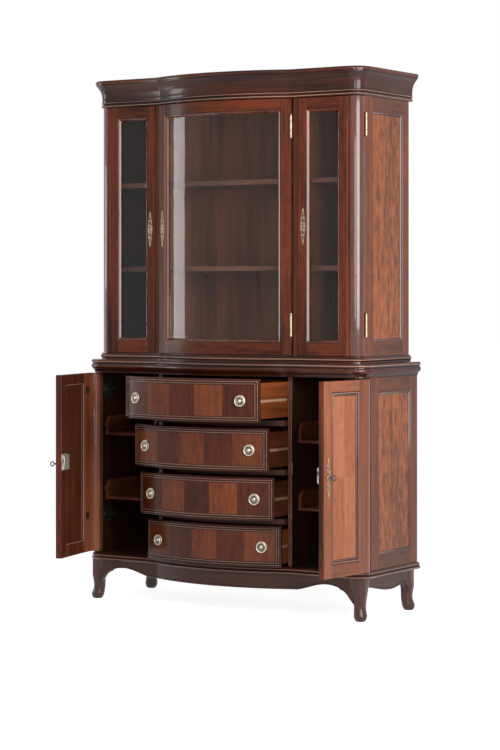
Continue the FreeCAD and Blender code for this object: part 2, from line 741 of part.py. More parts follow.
def hinge_parts(name, x, y, z, door_leaf, case_leaf):
    """A loose-pin hinge: the outer knuckles, pin and leaf on the door, the middle one on the case."""
    third = "knuckle_length / 3"
    door = fused(name + "_door", [
        rod(name + "_low", "z", (x, y, z), "knuckle_radius", third + " - seat_clearance / 2"),
        rod(name + "_top", "z", (x, y, "%s + 2 * %s + seat_clearance / 2" % (z, third)),
            "knuckle_radius", third + " - seat_clearance / 2"),
        rod(name + "_pin", "z", (x, y, z), "pin_radius", "knuckle_length"),
        ball(name + "_foot", (x, y, z), "knuckle_radius * 0.8"),
        ball(name + "_head", (x, y, z + " + knuckle_length"), "knuckle_radius * 0.8"),
        door_leaf(name + "_leaf_low", (z, "%s + %s - seat_clearance / 2" % (z, third))),
        door_leaf(name + "_leaf_top", ("%s + 2 * %s + seat_clearance / 2" % (z, third),
                                       z + " + knuckle_length")),
    ])
    middle = ("%s + %s + seat_clearance / 2" % (z, third), "%s + 2 * %s - seat_clearance / 2" % (z, third))
    barrel = fused(name + "_barrel", [
        rod(name + "_middle", "z", (x, y, middle[0]), "knuckle_radius", third + " - seat_clearance"),
        case_leaf(name + "_case_leaf", middle),
    ])
    bore = rod(name + "_bore", "z", (x, y, middle[0] + " - 1"), "pin_radius + pin_clearance",
               "knuckle_length / 2")
    return door, cut(name + "_case", barrel, [bore])


def side_hinge(side_name, side, level, z):
    x = signed(side, "side_hinge_x")

    def door_leaf(name, z_range):
        return board(name, span(side, "upper_half_width - leaf_width", "side_hinge_x"),
                     ("upper_door_return", "upper_door_return + leaf_thickness"), z_range)

    def case_leaf(name, z_range):
        return board(name, span(side, "upper_half_width - leaf_width", "side_hinge_x"),
                     ("upper_side_front - leaf_thickness", "upper_side_front"), z_range)
    return hinge_parts("hinge_%s_%s" % (side_name, level), x, "side_hinge_y", z, door_leaf, case_leaf)


def centre_hinge(level, z):
    def door_leaf(name, z_range):
        return board(name, ("centre_door_edge", "centre_door_edge + leaf_thickness"),
                     ("centre_hinge_y", "leaf_width - centre_door_proud"), z_range)

    def case_leaf(name, z_range):
        return board(name, ("upper_post_inner - leaf_thickness", "upper_post_inner"),
                     ("centre_hinge_y", "leaf_width"), z_range)
    return hinge_parts("hinge_centre_" + level, "centre_hinge_x", "centre_hinge_y", z,
                       door_leaf, case_leaf)


HINGE_LEVELS = (("low", "hinge_low_start"), ("high", "hinge_high_start"))
fixed_brass = []

# ---------------------------------------------------------------- upper side doors
for side_name, side in SIDES:
    z = ("upper_door_bottom", "upper_door_top")
    y = ("0", "upper_door_thickness")
    opening = span(side, "side_glass_inner", "side_glass_outer")
    step = board("sight_step_" + side_name,
                 span(side, "side_glass_inner - sight_step", "side_glass_outer + sight_step"),
                 ("upper_front - 1", "sight_step_depth"),
                 ("upper_glass_bottom - sight_step", "upper_glass_top + sight_step"))
    rebate = board("rebate_" + side_name,
                   span(side, "side_glass_inner - rebate_width", "side_glass_outer + rebate_width"),
                   ("rebate_depth", "upper_door_thickness + 1"),
                   ("upper_glass_bottom - rebate_width", "upper_glass_top + rebate_width"))
    keyhole_x = signed(side, "side_door_edge + upper_keyhole_inset")
    key_bore = rod("keyhole_bore_" + side_name, "y", (keyhole_x, "-1", "upper_keyhole"),
                   "keyhole_radius", "upper_door_thickness + 2")
    tools = [step, rebate]
    free = board("free_stile_" + side_name, span(side, "side_door_edge", "side_glass_inner"), y, z)
    low = board("low_rail_" + side_name, opening, y, (z[0], "upper_glass_bottom"))
    top = board("top_rail_" + side_name, opening, y, ("upper_glass_top", z[1]))
    flat = board("hinge_flat_" + side_name, span(side, "side_glass_outer", "side_corner_start"), y, z)
    disc = rod("corner_disc_" + side_name, "z",
               (signed(side, "side_corner_start"), "upper_corner_radius", z[0]),
               "upper_corner_radius", "upper_door_top - upper_door_bottom")
    core = rod("corner_core_" + side_name, "z",
               (signed(side, "side_corner_start"), "upper_corner_radius", z[0]),
               "upper_corner_radius - upper_door_thickness", "upper_door_top - upper_door_bottom")
    quarter = board("corner_keep_" + side_name, span(side, "side_corner_start", "upper_half_width"),
                    ("0", "upper_corner_radius"), z)
    corner = shared("corner_" + side_name, [cut("corner_" + side_name, disc, [core]), quarter])
    edge = board("corner_return_" + side_name, span(side, "upper_inner", "upper_half_width"),
                 ("upper_corner_radius", "upper_door_return"), z)
    hinge_stile = fused("hinge_stile_" + side_name, [flat, corner, edge])
    frame = [
        cut("free_stile_" + side_name, free, tools + [key_bore]),
        cut("low_rail_" + side_name, low, tools),
        cut("top_rail_" + side_name, top, tools),
        cut("hinge_stile_" + side_name, hinge_stile, tools),
    ]
    node("upper_%s_door" % side_name, frame)
    lap = "rebate_width - seat_clearance"
    node("upper_%s_glass" % side_name, [board(
        "pane_" + side_name, span(side, "side_glass_inner - (%s)" % lap, "side_glass_outer + " + lap),
        ("rebate_depth", "rebate_depth + glass_thickness"),
        ("upper_glass_bottom - (%s)" % lap, "upper_glass_top + " + lap))])
    brass = [escutcheon("escutcheon_" + side_name, keyhole_x, "0", "upper_keyhole")]
    for level, start in HINGE_LEVELS:
        door_part, case_part = side_hinge(side_name, side, level, start)
        brass.append(door_part)
        fixed_brass.append(case_part)
    node("upper_%s_door_brass" % side_name, brass)

# ---------------------------------------------------------------- bowed centre door
z = ("upper_door_bottom", "upper_door_top")
edge = "centre_door_edge"
glass_edge = "centre_glass_edge"
inner_radius = "bow_radius - upper_door_thickness"
step = band("centre_step", "door_bow_centre", "bow_radius + 20", "bow_radius - sight_step_depth",
            (neg(glass_edge + " + sight_step"), glass_edge + " + sight_step"),
            ("upper_glass_bottom - sight_step", "upper_glass_top + sight_step"))
rebate = band("centre_rebate", "door_bow_centre", "bow_radius - rebate_depth", inner_radius + " - 10",
              (neg(glass_edge + " + rebate_width"), glass_edge + " + rebate_width"),
              ("upper_glass_bottom - rebate_width", "upper_glass_top + rebate_width"))
key_x = "-centre_door_edge + upper_keyhole_inset"
key_bore = rod("centre_keyhole_bore", "y", (key_x, "-bow_rise", "upper_keyhole"),
               "keyhole_radius", "2 * bow_rise")
members = (
    ("left_stile", (neg(edge), neg(glass_edge)), z, [step, rebate, key_bore]),
    ("right_stile", (glass_edge, edge), z, [step, rebate]),
    ("low_rail", (neg(glass_edge), glass_edge), (z[0], "upper_glass_bottom"), [step, rebate]),
    ("top_rail", (neg(glass_edge), glass_edge), ("upper_glass_top", z[1]), [step, rebate]),
)
frame = []
for member, x, z_range, tools in members:
    blank = band("centre_" + member, "door_bow_centre", "bow_radius", inner_radius, x, z_range)
    frame.append(cut("centre_" + member, blank, tools))
node("upper_centre_door", frame)
lap = "rebate_width - seat_clearance"
node("upper_centre_glass", [band(
    "centre_pane", "door_bow_centre", "bow_radius - rebate_depth",
    "bow_radius - rebate_depth - glass_thickness",
    (neg(glass_edge + " + " + lap), glass_edge + " + " + lap),
    ("upper_glass_bottom - (%s)" % lap, "upper_glass_top + " + lap))])

# The plate is made at the middle and then set square to the bowed stile.
plate = group("centre_escutcheon", [escutcheon("centre_plate", "0", "0", "0")])
key_reach = "centre_door_edge - upper_keyhole_inset"
bind(plate,
     Placement__Rotation__Angle="-asin((%s) / bow_radius)" % key_reach,
     Placement__Base__x=neg(key_reach),
     Placement__Base__y="door_bow_centre - sqrt(bow_radius^2 - (%s)^2)" % key_reach,
     Placement__Base__z="upper_keyhole")
brass = [plate]
for level, start in HINGE_LEVELS:
    door_part, case_part = centre_hinge(level, start)
    brass.append(door_part)
    fixed_brass.append(case_part)
node("upper_centre_door_brass", brass)

# ---------------------------------------------------------------- lower doors, locks, keys and hinges
hinge_plates = []
for side_name, side in SIDES:
    angle = side_name + "_door_angle"
    z = ("lower_door_bottom", "lower_door_top")
    y = ("lower_front", "lower_door_inside")
    keyhole_x = signed(side, "lower_keyhole_x")
    bore = rod("lower_bore_" + side_name, "y", (keyhole_x, "lower_front - 1", "lower_keyhole"),
               "keyhole_radius", "lower_door_thickness + 2")
    free = board("lower_free_" + side_name, span(side, "lower_door_edge", "lower_panel_inner"), y, z)
    flat = board("lower_flat_" + side_name, span(side, "lower_panel_outer", "lower_corner_start"), y, z)
    corner_at = (signed(side, "lower_corner_start"), "lower_corner_middle", z[0])
    disc = rod("lower_disc_" + side_name, "z", corner_at, "lower_corner_radius",
               "lower_door_top - lower_door_bottom")
    core = rod("lower_core_" + side_name, "z", corner_at, "lower_corner_radius - lower_door_thickness",
               "lower_door_top - lower_door_bottom")
    quarter = board("lower_keep_" + side_name, span(side, "lower_corner_start", "lower_half_width"),
                    ("lower_front", "lower_corner_middle"), z)
    corner = shared("lower_corner_" + side_name, [cut("lower_corner_" + side_name, disc, [core]), quarter])
    # The door hangs on two upright pins, one in its foot and one in its head.
    pivot_x = signed(side, "pivot_x")
    pivot_bores = []
    for end, base, low in (("foot", "lower_floor", "lower_floor"),
                           ("head", "lower_ceiling", "lower_ceiling - pivot_length")):
        collar_low = base if end == "foot" else "lower_ceiling - door_height_gap + slide_clearance"
        hinge_plates.append(fused("pivot_%s_%s" % (end, side_name), [
            rod("pivot_pin_%s_%s" % (end, side_name), "z", (pivot_x, "pivot_y", low), "pivot_radius",
                "pivot_length"),
            rod("pivot_collar_%s_%s" % (end, side_name), "z", (pivot_x, "pivot_y", collar_low),
                "pivot_collar_radius", "door_height_gap - slide_clearance"),
        ]))
        pivot_bores.append(rod("pivot_bore_%s_%s" % (end, side_name), "z",
                               (pivot_x, "pivot_y", low + " - 1"), "pivot_radius + pin_clearance",
                               "pivot_length + 2"))
    rail_x = span(side, "lower_panel_inner", "lower_panel_outer")
    frame = [
        cut("lower_free_" + side_name, free, [bore]),
        cut("lower_hinge_stile_" + side_name, fused("lower_hinge_stile_" + side_name, [flat, corner]),
            pivot_bores),
        board("lower_low_rail_" + side_name, rail_x, y, (z[0], "lower_panel_bottom")),
        board("lower_top_rail_" + side_name, rail_x, y, ("lower_panel_top", z[1])),
        board("lower_panel_" + side_name, rail_x,
              ("lower_front + lower_panel_recess",
               "lower_front + lower_panel_recess + lower_panel_thickness"),
              ("lower_panel_bottom", "lower_panel_top")),
    ]
    place = (side, "pivot_x", "pivot_y", angle)
    swung_node("lower_%s_door" % side_name, frame, *place)

    lock_x = span(side, "lower_keyhole_x - lock_width / 2", "lower_keyhole_x + lock_width / 2")
    case = board("lock_case_" + side_name, lock_x,
                 ("lower_door_inside", "lower_door_inside + lock_depth"),
                 ("lower_keyhole - lock_height / 2", "lower_keyhole + lock_height / 2"))
    chamber = rod("lock_chamber_" + side_name, "y",
                  (keyhole_x, "lower_door_inside + plate_thickness", "lower_keyhole"),
                  "lock_chamber_radius", "lock_chamber_depth")
    lock_bore = rod("lock_bore_" + side_name, "y", (keyhole_x, "lower_door_inside - 1", "lower_keyhole"),
                    "keyhole_radius", "lock_depth / 2 + 1")
    edge_plate = board("lock_edge_" + side_name,
                       span(side, "lower_door_edge - plate_thickness / 2", "lower_door_edge"),
                       ("lower_front + lock_edge_inset", "lower_door_inside"),
                       ("lower_keyhole - lock_height / 2", "lower_keyhole + lock_height / 2"))
    swung_node("lower_%s_door_brass" % side_name, [
        cut("lock_case_" + side_name, case, [chamber, lock_bore]),
        edge_plate,
        escutcheon("lower_escutcheon_" + side_name, keyhole_x, "lower_front", "lower_keyhole"),
    ], *place)

    cups = []
    for level, start in (("low", "concealed_low_start"), ("high", "concealed_high_start")):
        tag = "%s_%s" % (side_name, level)
        middle = start + " + concealed_height / 2"
        arm_z = (middle + " - hinge_arm_height / 2", middle + " + hinge_arm_height / 2")
        cups.append(rod("cup_" + tag, "y",
                        (signed(side, "lower_corner_start - cup_radius"), "lower_door_inside", middle),
                        "cup_radius", "cup_depth"))
        plate = board("hinge_plate_" + tag, span(side, "mount_x", "lower_inner"),
                      ("mount_front", "mount_back"), (start, start + " + concealed_height"))
        arm = board("hinge_arm_" + tag, span(side, "arm_x - hinge_arm_thickness", "arm_x"),
                    ("pivot_y + hinge_arm_gap", "mount_back - hinge_arm_inset"), arm_z)
        bridge = board("hinge_bridge_" + tag, span(side, "arm_x", "mount_x"),
                       ("mount_front + hinge_bridge_inset", "mount_back - hinge_bridge_inset"), arm_z)
        hinge_plates.append(fused("hinge_base_" + tag, [plate, arm, bridge]))
    swung_node("lower_%s_hinge_cups" % side_name, cups, *place)

    stem_start = "lower_front - key_length"
    stem = rod("key_stem_" + side_name, "y", (keyhole_x, stem_start, "lower_keyhole"), "key_radius",
               "key_length + lower_door_thickness + plate_thickness + key_bit_length")
    bow = hoop("key_bow_" + side_name, "x",
               (keyhole_x, stem_start + " - key_bow_radius", "lower_keyhole"),
               "key_bow_radius", "key_bow_wire")
    collar = rod("key_collar_" + side_name, "y",
                 (keyhole_x, stem_start + " + key_collar_setback", "lower_keyhole"),
                 "key_collar_radius", "key_collar_length")
    bit = board("key_bit_" + side_name,
                (keyhole_x + " - key_bit_thickness / 2", keyhole_x + " + key_bit_thickness / 2"),
                ("lower_door_inside + plate_thickness + strike_setback",
                 "lower_door_inside + plate_thickness + key_bit_length"),
                ("lower_keyhole - key_bit_height", "lower_keyhole"))
    swung_node("lower_%s_key" % side_name, [fused("key_" + side_name, [stem, bow, collar, bit])], *place)
    fixed_brass.append(board(
        "strike_" + side_name, span(side, "centre_half_width", "centre_half_width + plate_thickness"),
        ("lower_door_inside + strike_setback", "lower_door_inside + strike_setback + lock_depth"),
        ("lower_keyhole - lock_height / 3", "lower_keyhole + lock_height / 3")))
node("concealed_hinge_plates", hinge_plates)
node("fixed_brass_fittings", fixed_brass)


# ---------------------------------------------------------------- drawers on side runners
def grooved(name, x, y, z, groove_x, groove_z):
    """A board with a straight groove along y for a runner."""
    blank = board(name + "_blank", x, y, z)
    groove = board(name + "_groove", groove_x, (y[0] + " - 1", y[1] + " + 1"), groove_z)
    return cut(name, blank, [groove])


runners = []
DRAWERS = ("one", "two", "three", "four")
for name in DRAWERS:
    top = "drawer_%s_top" % name
    bottom = "drawer_%s_bottom" % name
    pull = "drawer_%s_pull" % name
    front = band("drawer_%s_bow" % name, "drawer_bow_centre", "bow_radius",
                 "bow_radius - drawer_front_thickness", ("-centre_half_width", "centre_half_width"),
                 (bottom, top))
    slid_node("drawer_%s_front" % name, [front], pull)

    # The box is cut off at the inner face of the bowed front.
    bore = rod("drawer_%s_hollow" % name, "z", ("0", "drawer_bow_centre", bottom),
               "bow_radius - drawer_front_thickness", "(%s) - (%s)" % (top, bottom))
    box_z = (bottom + " + drawer_box_lift", top + " - drawer_box_drop")
    middle = "((%s) + (%s)) / 2" % box_z
    groove_z = (middle + " - runner_height / 2 - slide_clearance",
                middle + " + runner_height / 2 + slide_clearance")
    long_y = ("-bow_rise - lower_projection", "drawer_depth")
    pieces = []
    for side_name, side in SIDES:
        tag = "drawer_%s_side_%s" % (name, side_name)
        blank = grooved(tag, span(side, "drawer_side_inner", "drawer_side_outer"), long_y, box_z,
                        span(side, "drawer_side_outer - groove_depth", "drawer_side_outer + 1"), groove_z)
        pieces.append(shared(tag + "_shaped", [blank, bore]))
        runners.append(board("runner_%s_%s" % (name, side_name),
                             span(side, "drawer_side_outer - groove_depth + slide_clearance",
                                  "partition_inner"),
                             ("partition_front + runner_setback", "lower_panel_back"),
                             (middle + " - runner_height / 2", middle + " + runner_height / 2")))
    inner_x = ("-drawer_side_inner", "drawer_side_inner")
    back_front = "drawer_depth - drawer_side_thickness"
    pieces.append(board("drawer_%s_back" % name, inner_x, (back_front, "drawer_depth"), box_z))
    floor_z = box_z[0] + " + drawer_bottom_lift"
    floor = board("drawer_%s_floor_blank" % name, inner_x, (long_y[0], back_front),
                  (floor_z, floor_z + " + drawer_bottom_thickness"))
    pieces.append(shared("drawer_%s_floor" % name, [floor, bore]))
    slid_node("drawer_%s_box" % name, pieces, pull)

    plates = []
    for side_name, side in SIDES:
        tag = "%s_%s" % (name, side_name)
        boss_end = "-rosette_thickness - boss_length"
        disc = rod("rosette_" + tag, "y", ("0", "-rosette_thickness", "0"), "rosette_radius",
                   "rosette_thickness")
        boss = rod("boss_" + tag, "y", ("0", boss_end, "0"), "boss_radius", "boss_length")
        dome = ball("dome_" + tag, ("0", boss_end, "0"), "boss_radius * 0.7")
        hole = "ring_wire + eye_clearance"
        eye = board("eye_" + tag, ("-eye_width / 2", "eye_width / 2"),
                    ("-ring_stand - (%s) - eye_wall" % hole, "-1"),
                    ("ring_eye_height - (%s) - eye_wall" % hole, "ring_eye_height + %s + eye_wall" % hole))
        eye_hole = rod("eye_hole_" + tag, "x", ("-eye_width", "-ring_stand", "ring_eye_height"),
                       hole, "2 * eye_width")
        plate = cut("pull_plate_" + tag, fused("pull_plate_blank_" + tag, [disc, boss, dome, eye]),
                    [eye_hole])
        hanging = hoop("ring_" + tag, "y", ("0", "-ring_stand", "ring_eye_height - ring_radius"),
                       "ring_radius", "ring_wire")
        placed = []
        for kind, piece in (("plate", plate), ("ring", hanging)):
            holder = group("%s_at_%s" % (kind, tag), [piece])
            bind(holder,
                 Placement__Rotation__Angle=signed(side, "asin(pull_offset / bow_radius)"),
                 Placement__Base__x=signed(side, "pull_offset"),
                 Placement__Base__y="drawer_bow_centre - sqrt(bow_radius^2 - pull_offset^2)",
                 Placement__Base__z="((%s) + (%s)) / 2" % (top, bottom))
            placed.append(holder)
        plates.append(placed[0])
        slid_node("drawer_%s_ring_%s" % (name, side_name), [placed[1]], pull)
    slid_node("drawer_%s_pull_plates" % name, plates, pull)

# ---------------------------------------------------------------- sliding trays behind the lower doors
for side_name, side in SIDES:
    for level, height in (("low", "tray_low_height"), ("high", "tray_high_height")):
        tag = "tray_%s_%s" % (side_name, level)
        bottom = "lower_floor + " + height
        z = (bottom, bottom + " + tray_height")
        y = ("tray_front", "tray_back")
        middle = bottom + " + tray_height / 2"
        groove_z = (middle + " - runner_height / 2 - slide_clearance",
                    middle + " + runner_height / 2 + slide_clearance")
        runner_z = (middle + " - runner_height / 2", middle + " + runner_height / 2")
        runner_y = ("tray_front + tray_runner_setback", "lower_panel_back")
        walls = []
        for wall_name, inner, outer, mouth in (
            ("inner", "tray_inner", "tray_inner + tray_wall",
             ("tray_inner - 1", "tray_inner + groove_depth")),
            ("outer", "tray_outer - tray_wall", "tray_outer",
             ("tray_outer - groove_depth", "tray_outer + 1")),
        ):
            name = "%s_%s" % (tag, wall_name)
            wall = grooved(name, span(side, inner, outer), y, z, span(side, *mouth), groove_z)
            # The top front corner of each wall is rounded: a square less a disc is taken off.
            start = signed(side, inner + " - 1") if side > 0 else neg(outer + " + 1")
            corner = board(name + "_corner", span(side, inner + " - 1", outer + " + 1"),
                           ("tray_front - 1", "tray_front + tray_corner_radius"),
                           (z[1] + " - tray_corner_radius", z[1] + " + 1"))
            disc = rod(name + "_disc", "x",
                       (start, "tray_front + tray_corner_radius", z[1] + " - tray_corner_radius"),
                       "tray_corner_radius", "tray_wall + 2")
            walls.append(cut(name + "_rounded", wall, [cut(name + "_nib", corner, [disc])]))
        inside = span(side, "tray_inner + tray_wall", "tray_outer - tray_wall")
        walls.append(board(tag + "_board", inside, y, (bottom, bottom + " + tray_board")))
        walls.append(board(tag + "_back", inside, ("tray_back - tray_wall", "tray_back"),
                           (bottom + " + tray_board", z[1])))
        node(tag, walls)
        runners.append(board(tag + "_inner_runner",
                             span(side, "centre_half_width",
                                  "tray_inner + groove_depth - slide_clearance"), runner_y, runner_z))
        runners.append(board(tag + "_outer_runner",
                             span(side, "tray_outer - groove_depth + slide_clearance", "lower_inner"),
                             runner_y, runner_z))
node("slide_runners", runners)

# ---------------------------------------------------------------- checks and files
doc.recompute()
for item in doc.Objects:
    if "Invalid" in item.State or "Error" in item.State:
        raise RuntimeError("%s did not build: %s" % (item.Name, item.State))
for item in nodes:
    if item.Shape.isNull() or not item.Shape.isValid():
        raise RuntimeError("%s has no valid shape" % item.Label)

os.makedirs("parts", exist_ok=True)
for item in nodes:
    item.Shape.exportStep(os.path.join("parts", item.Label + ".step"))
print("wrote %d sub-parts" % len(nodes))
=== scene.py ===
"""The looks of the china cabinet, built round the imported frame.

Lengths are in metres; profiles, cut edges and the forms of the brass are in mm.
"""
import json
import math
import random

import bmesh
import bpy
from mathutils import Matrix, Vector


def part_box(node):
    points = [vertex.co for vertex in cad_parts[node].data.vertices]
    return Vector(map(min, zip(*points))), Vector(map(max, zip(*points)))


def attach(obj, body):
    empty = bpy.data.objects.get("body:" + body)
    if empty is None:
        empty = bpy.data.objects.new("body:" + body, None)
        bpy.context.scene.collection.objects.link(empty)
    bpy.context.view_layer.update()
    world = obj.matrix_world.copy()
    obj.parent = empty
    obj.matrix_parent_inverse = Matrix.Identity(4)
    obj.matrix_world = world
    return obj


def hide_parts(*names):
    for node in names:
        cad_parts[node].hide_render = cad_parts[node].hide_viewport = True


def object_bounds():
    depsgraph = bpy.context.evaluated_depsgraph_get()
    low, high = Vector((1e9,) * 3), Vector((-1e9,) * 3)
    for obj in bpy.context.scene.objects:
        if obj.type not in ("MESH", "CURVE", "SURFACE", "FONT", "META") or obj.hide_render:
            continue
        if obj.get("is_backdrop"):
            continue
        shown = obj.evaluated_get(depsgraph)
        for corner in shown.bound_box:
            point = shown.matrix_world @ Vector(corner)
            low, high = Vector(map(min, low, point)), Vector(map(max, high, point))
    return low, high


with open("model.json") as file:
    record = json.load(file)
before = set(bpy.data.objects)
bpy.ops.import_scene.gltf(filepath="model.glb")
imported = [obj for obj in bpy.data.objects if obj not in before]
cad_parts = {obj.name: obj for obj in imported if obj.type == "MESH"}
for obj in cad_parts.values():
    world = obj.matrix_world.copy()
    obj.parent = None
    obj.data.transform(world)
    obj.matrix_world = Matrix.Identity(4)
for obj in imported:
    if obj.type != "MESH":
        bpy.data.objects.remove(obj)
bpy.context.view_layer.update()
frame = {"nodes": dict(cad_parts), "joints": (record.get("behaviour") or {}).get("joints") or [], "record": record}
rng = random.Random(7)

# ---- places read from the frame
BOW_RISE = 0.07
UPPER_CORNER = 0.04
LOWER_CORNER = 0.06
DOOR_THICKNESS = 0.022
LOWER_DOOR_THICKNESS = 0.025

joints = {joint["name"]: joint for joint in frame["joints"]}
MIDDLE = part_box("drawer_one_front")[1].x
BOW_RADIUS = (MIDDLE ** 2 + BOW_RISE ** 2) / (2 * BOW_RISE)
UPPER_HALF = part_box("upper_sides")[1].x
LOWER_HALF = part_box("lower_sides")[1].x
UPPER_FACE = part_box("upper_left_door")[0].y
LOWER_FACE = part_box("drawer_one_front")[0].y + BOW_RISE - joints["drawer_one_slide"]["range_m"][0]
UPPER_PLAN = (UPPER_HALF, UPPER_FACE, UPPER_CORNER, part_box("upper_sides")[1].y)
LOWER_PLAN = (LOWER_HALF, LOWER_FACE, LOWER_CORNER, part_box("lower_sides")[1].y)
SIDES = (("left", -1), ("right", 1))


# ---- materials
def new_material(name):
    material = bpy.data.materials.new(name)
    material.use_nodes = True
    tree = material.node_tree
    shader = tree.nodes["Principled BSDF"]
    return material, tree, shader


def link(tree, start, end):
    tree.links.new(start, end)


def settle(node, values):
    """Sets a node's own sockets by their names."""
    for name, value in values.items():
        node.inputs[name].default_value = value


def noise(tree, coords, scale, detail=4.0, rough=0.55):
    """A noise factor on coordinates stretched by a scale for each axis."""
    mapping = tree.nodes.new("ShaderNodeMapping")
    settle(mapping, {"Scale": scale})
    link(tree, coords, mapping.inputs["Vector"])
    texture = tree.nodes.new("ShaderNodeTexNoise")
    settle(texture, {"Scale": 1.0, "Detail": detail, "Roughness": rough})
    link(tree, mapping.outputs["Vector"], texture.inputs["Vector"])
    return texture.outputs["Fac"]


def ramp(tree, factor, stops):
    node = tree.nodes.new("ShaderNodeValToRGB")
    elements = node.color_ramp.elements
    while len(elements) < len(stops):
        elements.new(0.5)
    for element, (place, colour) in zip(elements, stops):
        element.position = place
        element.color = (*colour, 1.0)
    link(tree, factor, node.inputs["Fac"])
    return node.outputs["Color"]


def plug(tree, socket, value):
    """Sets a socket to a number or a colour, or links it to another node's output."""
    if isinstance(value, (int, float)):
        socket.default_value = value
    elif isinstance(value, tuple):
        socket.default_value = (*value, 1.0)
    else:
        link(tree, value, socket)


# the mix node's sockets for a factor and two colours, and the colour that it gives
MIX_FACTOR, MIX_FIRST, MIX_SECOND, MIX_RESULT = 0, 6, 7, 2


def mixed(tree, kind, factor, first, second):
    node = tree.nodes.new("ShaderNodeMix")
    node.data_type = "RGBA"
    node.blend_type = kind
    plug(tree, node.inputs[MIX_FACTOR], factor)
    plug(tree, node.inputs[MIX_FIRST], first)
    plug(tree, node.inputs[MIX_SECOND], second)
    return node.outputs[MIX_RESULT]


def maths(tree, kind, first, second):
    node = tree.nodes.new("ShaderNodeMath")
    node.operation = kind
    plug(tree, node.inputs[0], first)
    plug(tree, node.inputs[1], second)
    return node.outputs[0]


def with_tone_and_painted_light(tree, colour):
    """The colour, darker where the mesh's tone value is above zero and lighter where it is below: tone from board
    to board and tarnish, with painted shade in hollows and painted highlights on crests.
    """
    attribute = tree.nodes.new("ShaderNodeAttribute")
    attribute.attribute_name = "glaze"
    shade = maths(tree, "SUBTRACT", 1.0, attribute.outputs["Fac"])
    return mixed(tree, "MULTIPLY", 1.0, colour, shade)


def thousandths(colour):
    """A colour given in thousandths, as its three parts."""
    return tuple(part / 1000 for part in colour)


def wood(name, axis, dark, light, rough=0.21, coat=0.1, figure=0.0, gloss=0.2, contrast=10.0):
    """Varnished wood with broad shading, long streaks and fine pores.

    The grain runs along the axis named, or along both where a level moulding turns or bows. The dark and
    the light colour are in thousandths.
    """
    material, tree, shader = new_material(name)
    coords = tree.nodes.new("ShaderNodeTexCoord").outputs["Object"]

    def along(across, lengthwise):
        return tuple(lengthwise if letter in axis else across for letter in "xyz")
    broad = noise(tree, coords, along(6.0, 1.3), 2.0)
    ribbon = noise(tree, coords, along(34.0, 1.9), 3.0, 0.5)
    streak = noise(tree, coords, along(170.0, 6.0), 4.0, 0.6)
    pores = noise(tree, coords, along(760.0, 34.0), 2.0, 0.5)
    blend = maths(tree, "MULTIPLY", broad, 0.4)
    blend = maths(tree, "ADD", blend, maths(tree, "MULTIPLY", ribbon, 0.34))
    blend = maths(tree, "ADD", blend, maths(tree, "MULTIPLY", streak, 0.26))
    if figure:
        flame = noise(tree, coords, along(60.0, 16.0), 5.0, 0.62)
        blend = maths(tree, "ADD", maths(tree, "MULTIPLY", blend, 1.0 - figure),
                      maths(tree, "MULTIPLY", flame, figure))
    spread_half = 1 / contrast
    stops = ((0.5 - spread_half, thousandths(dark)), (0.5 + spread_half, thousandths(light)))
    colour = ramp(tree, blend, stops)
    pore_mask = ramp(tree, pores, ((0.34, (0.52, 0.46, 0.44)), (0.46, (1.0, 1.0, 1.0))))
    # the mesh's tone values darken hollows as painted shade and lighten bead crests as a painted highlight,
    # besides the tone from board to board
    colour = with_tone_and_painted_light(tree, mixed(tree, "MULTIPLY", 0.5, colour, pore_mask))
    link(tree, colour, shader.inputs["Base Color"])
    uneven = maths(tree, "ADD", maths(tree, "MULTIPLY", broad, 0.08), rough - 0.04)
    link(tree, uneven, shader.inputs["Roughness"])
    settle(shader, {"Specular IOR Level": gloss, "Coat Weight": coat, "Coat Roughness": 0.06})
    bump = tree.nodes.new("ShaderNodeBump")
    settle(bump, {"Strength": 0.05, "Distance": 0.0005})
    link(tree, streak, bump.inputs["Height"])
    link(tree, bump.outputs["Normal"], shader.inputs["Normal"])
    return material


def metal(name, dark, light, rough, scale=260.0, metallic=1.0):
    """Aged metal: tarnish gathers in soft patches and, through the mesh's tone values, in recesses. Colours are in
    thousandths.
    """
    material, tree, shader = new_material(name)
    coords = tree.nodes.new("ShaderNodeTexCoord").outputs["Object"]
    patches = noise(tree, coords, (scale, scale, scale), 3.0)
    colour = with_tone_and_painted_light(tree, ramp(tree, patches, ((0.35, thousandths(dark)), (0.62, thousandths(light)))))
    link(tree, colour, shader.inputs["Base Color"])
    uneven = maths(tree, "ADD", maths(tree, "MULTIPLY", patches, 0.2), rough - 0.1)
    link(tree, uneven, shader.inputs["Roughness"])
    settle(shader, {"Metallic": metallic})
    return material


def glass(name):
    """Clear window glass; rays from the lamps pass straight through it."""
    material, tree, shader = new_material(name)
    settle(shader, {"Base Color": (0.94, 0.965, 0.95, 1.0), "Roughness": 0.0, "IOR": 1.24,
                    "Transmission Weight": 1.0})
    clear = tree.nodes.new("ShaderNodeBsdfTransparent")
    choose = tree.nodes.new("ShaderNodeMixShader")
    rays = tree.nodes.new("ShaderNodeLightPath")
    link(tree, rays.outputs["Is Shadow Ray"], choose.inputs[0])
    link(tree, shader.outputs["BSDF"], choose.inputs[1])
    link(tree, clear.outputs["BSDF"], choose.inputs[2])
    link(tree, choose.outputs["Shader"], tree.nodes["Material Output"].inputs["Surface"])
    return material


WOODS = []


def add_wood(*look, **finish):
    """Adds a wood to the materials of every wooden piece and returns its number among them."""
    WOODS.append(wood(*look, **finish))
    return len(WOODS) - 1


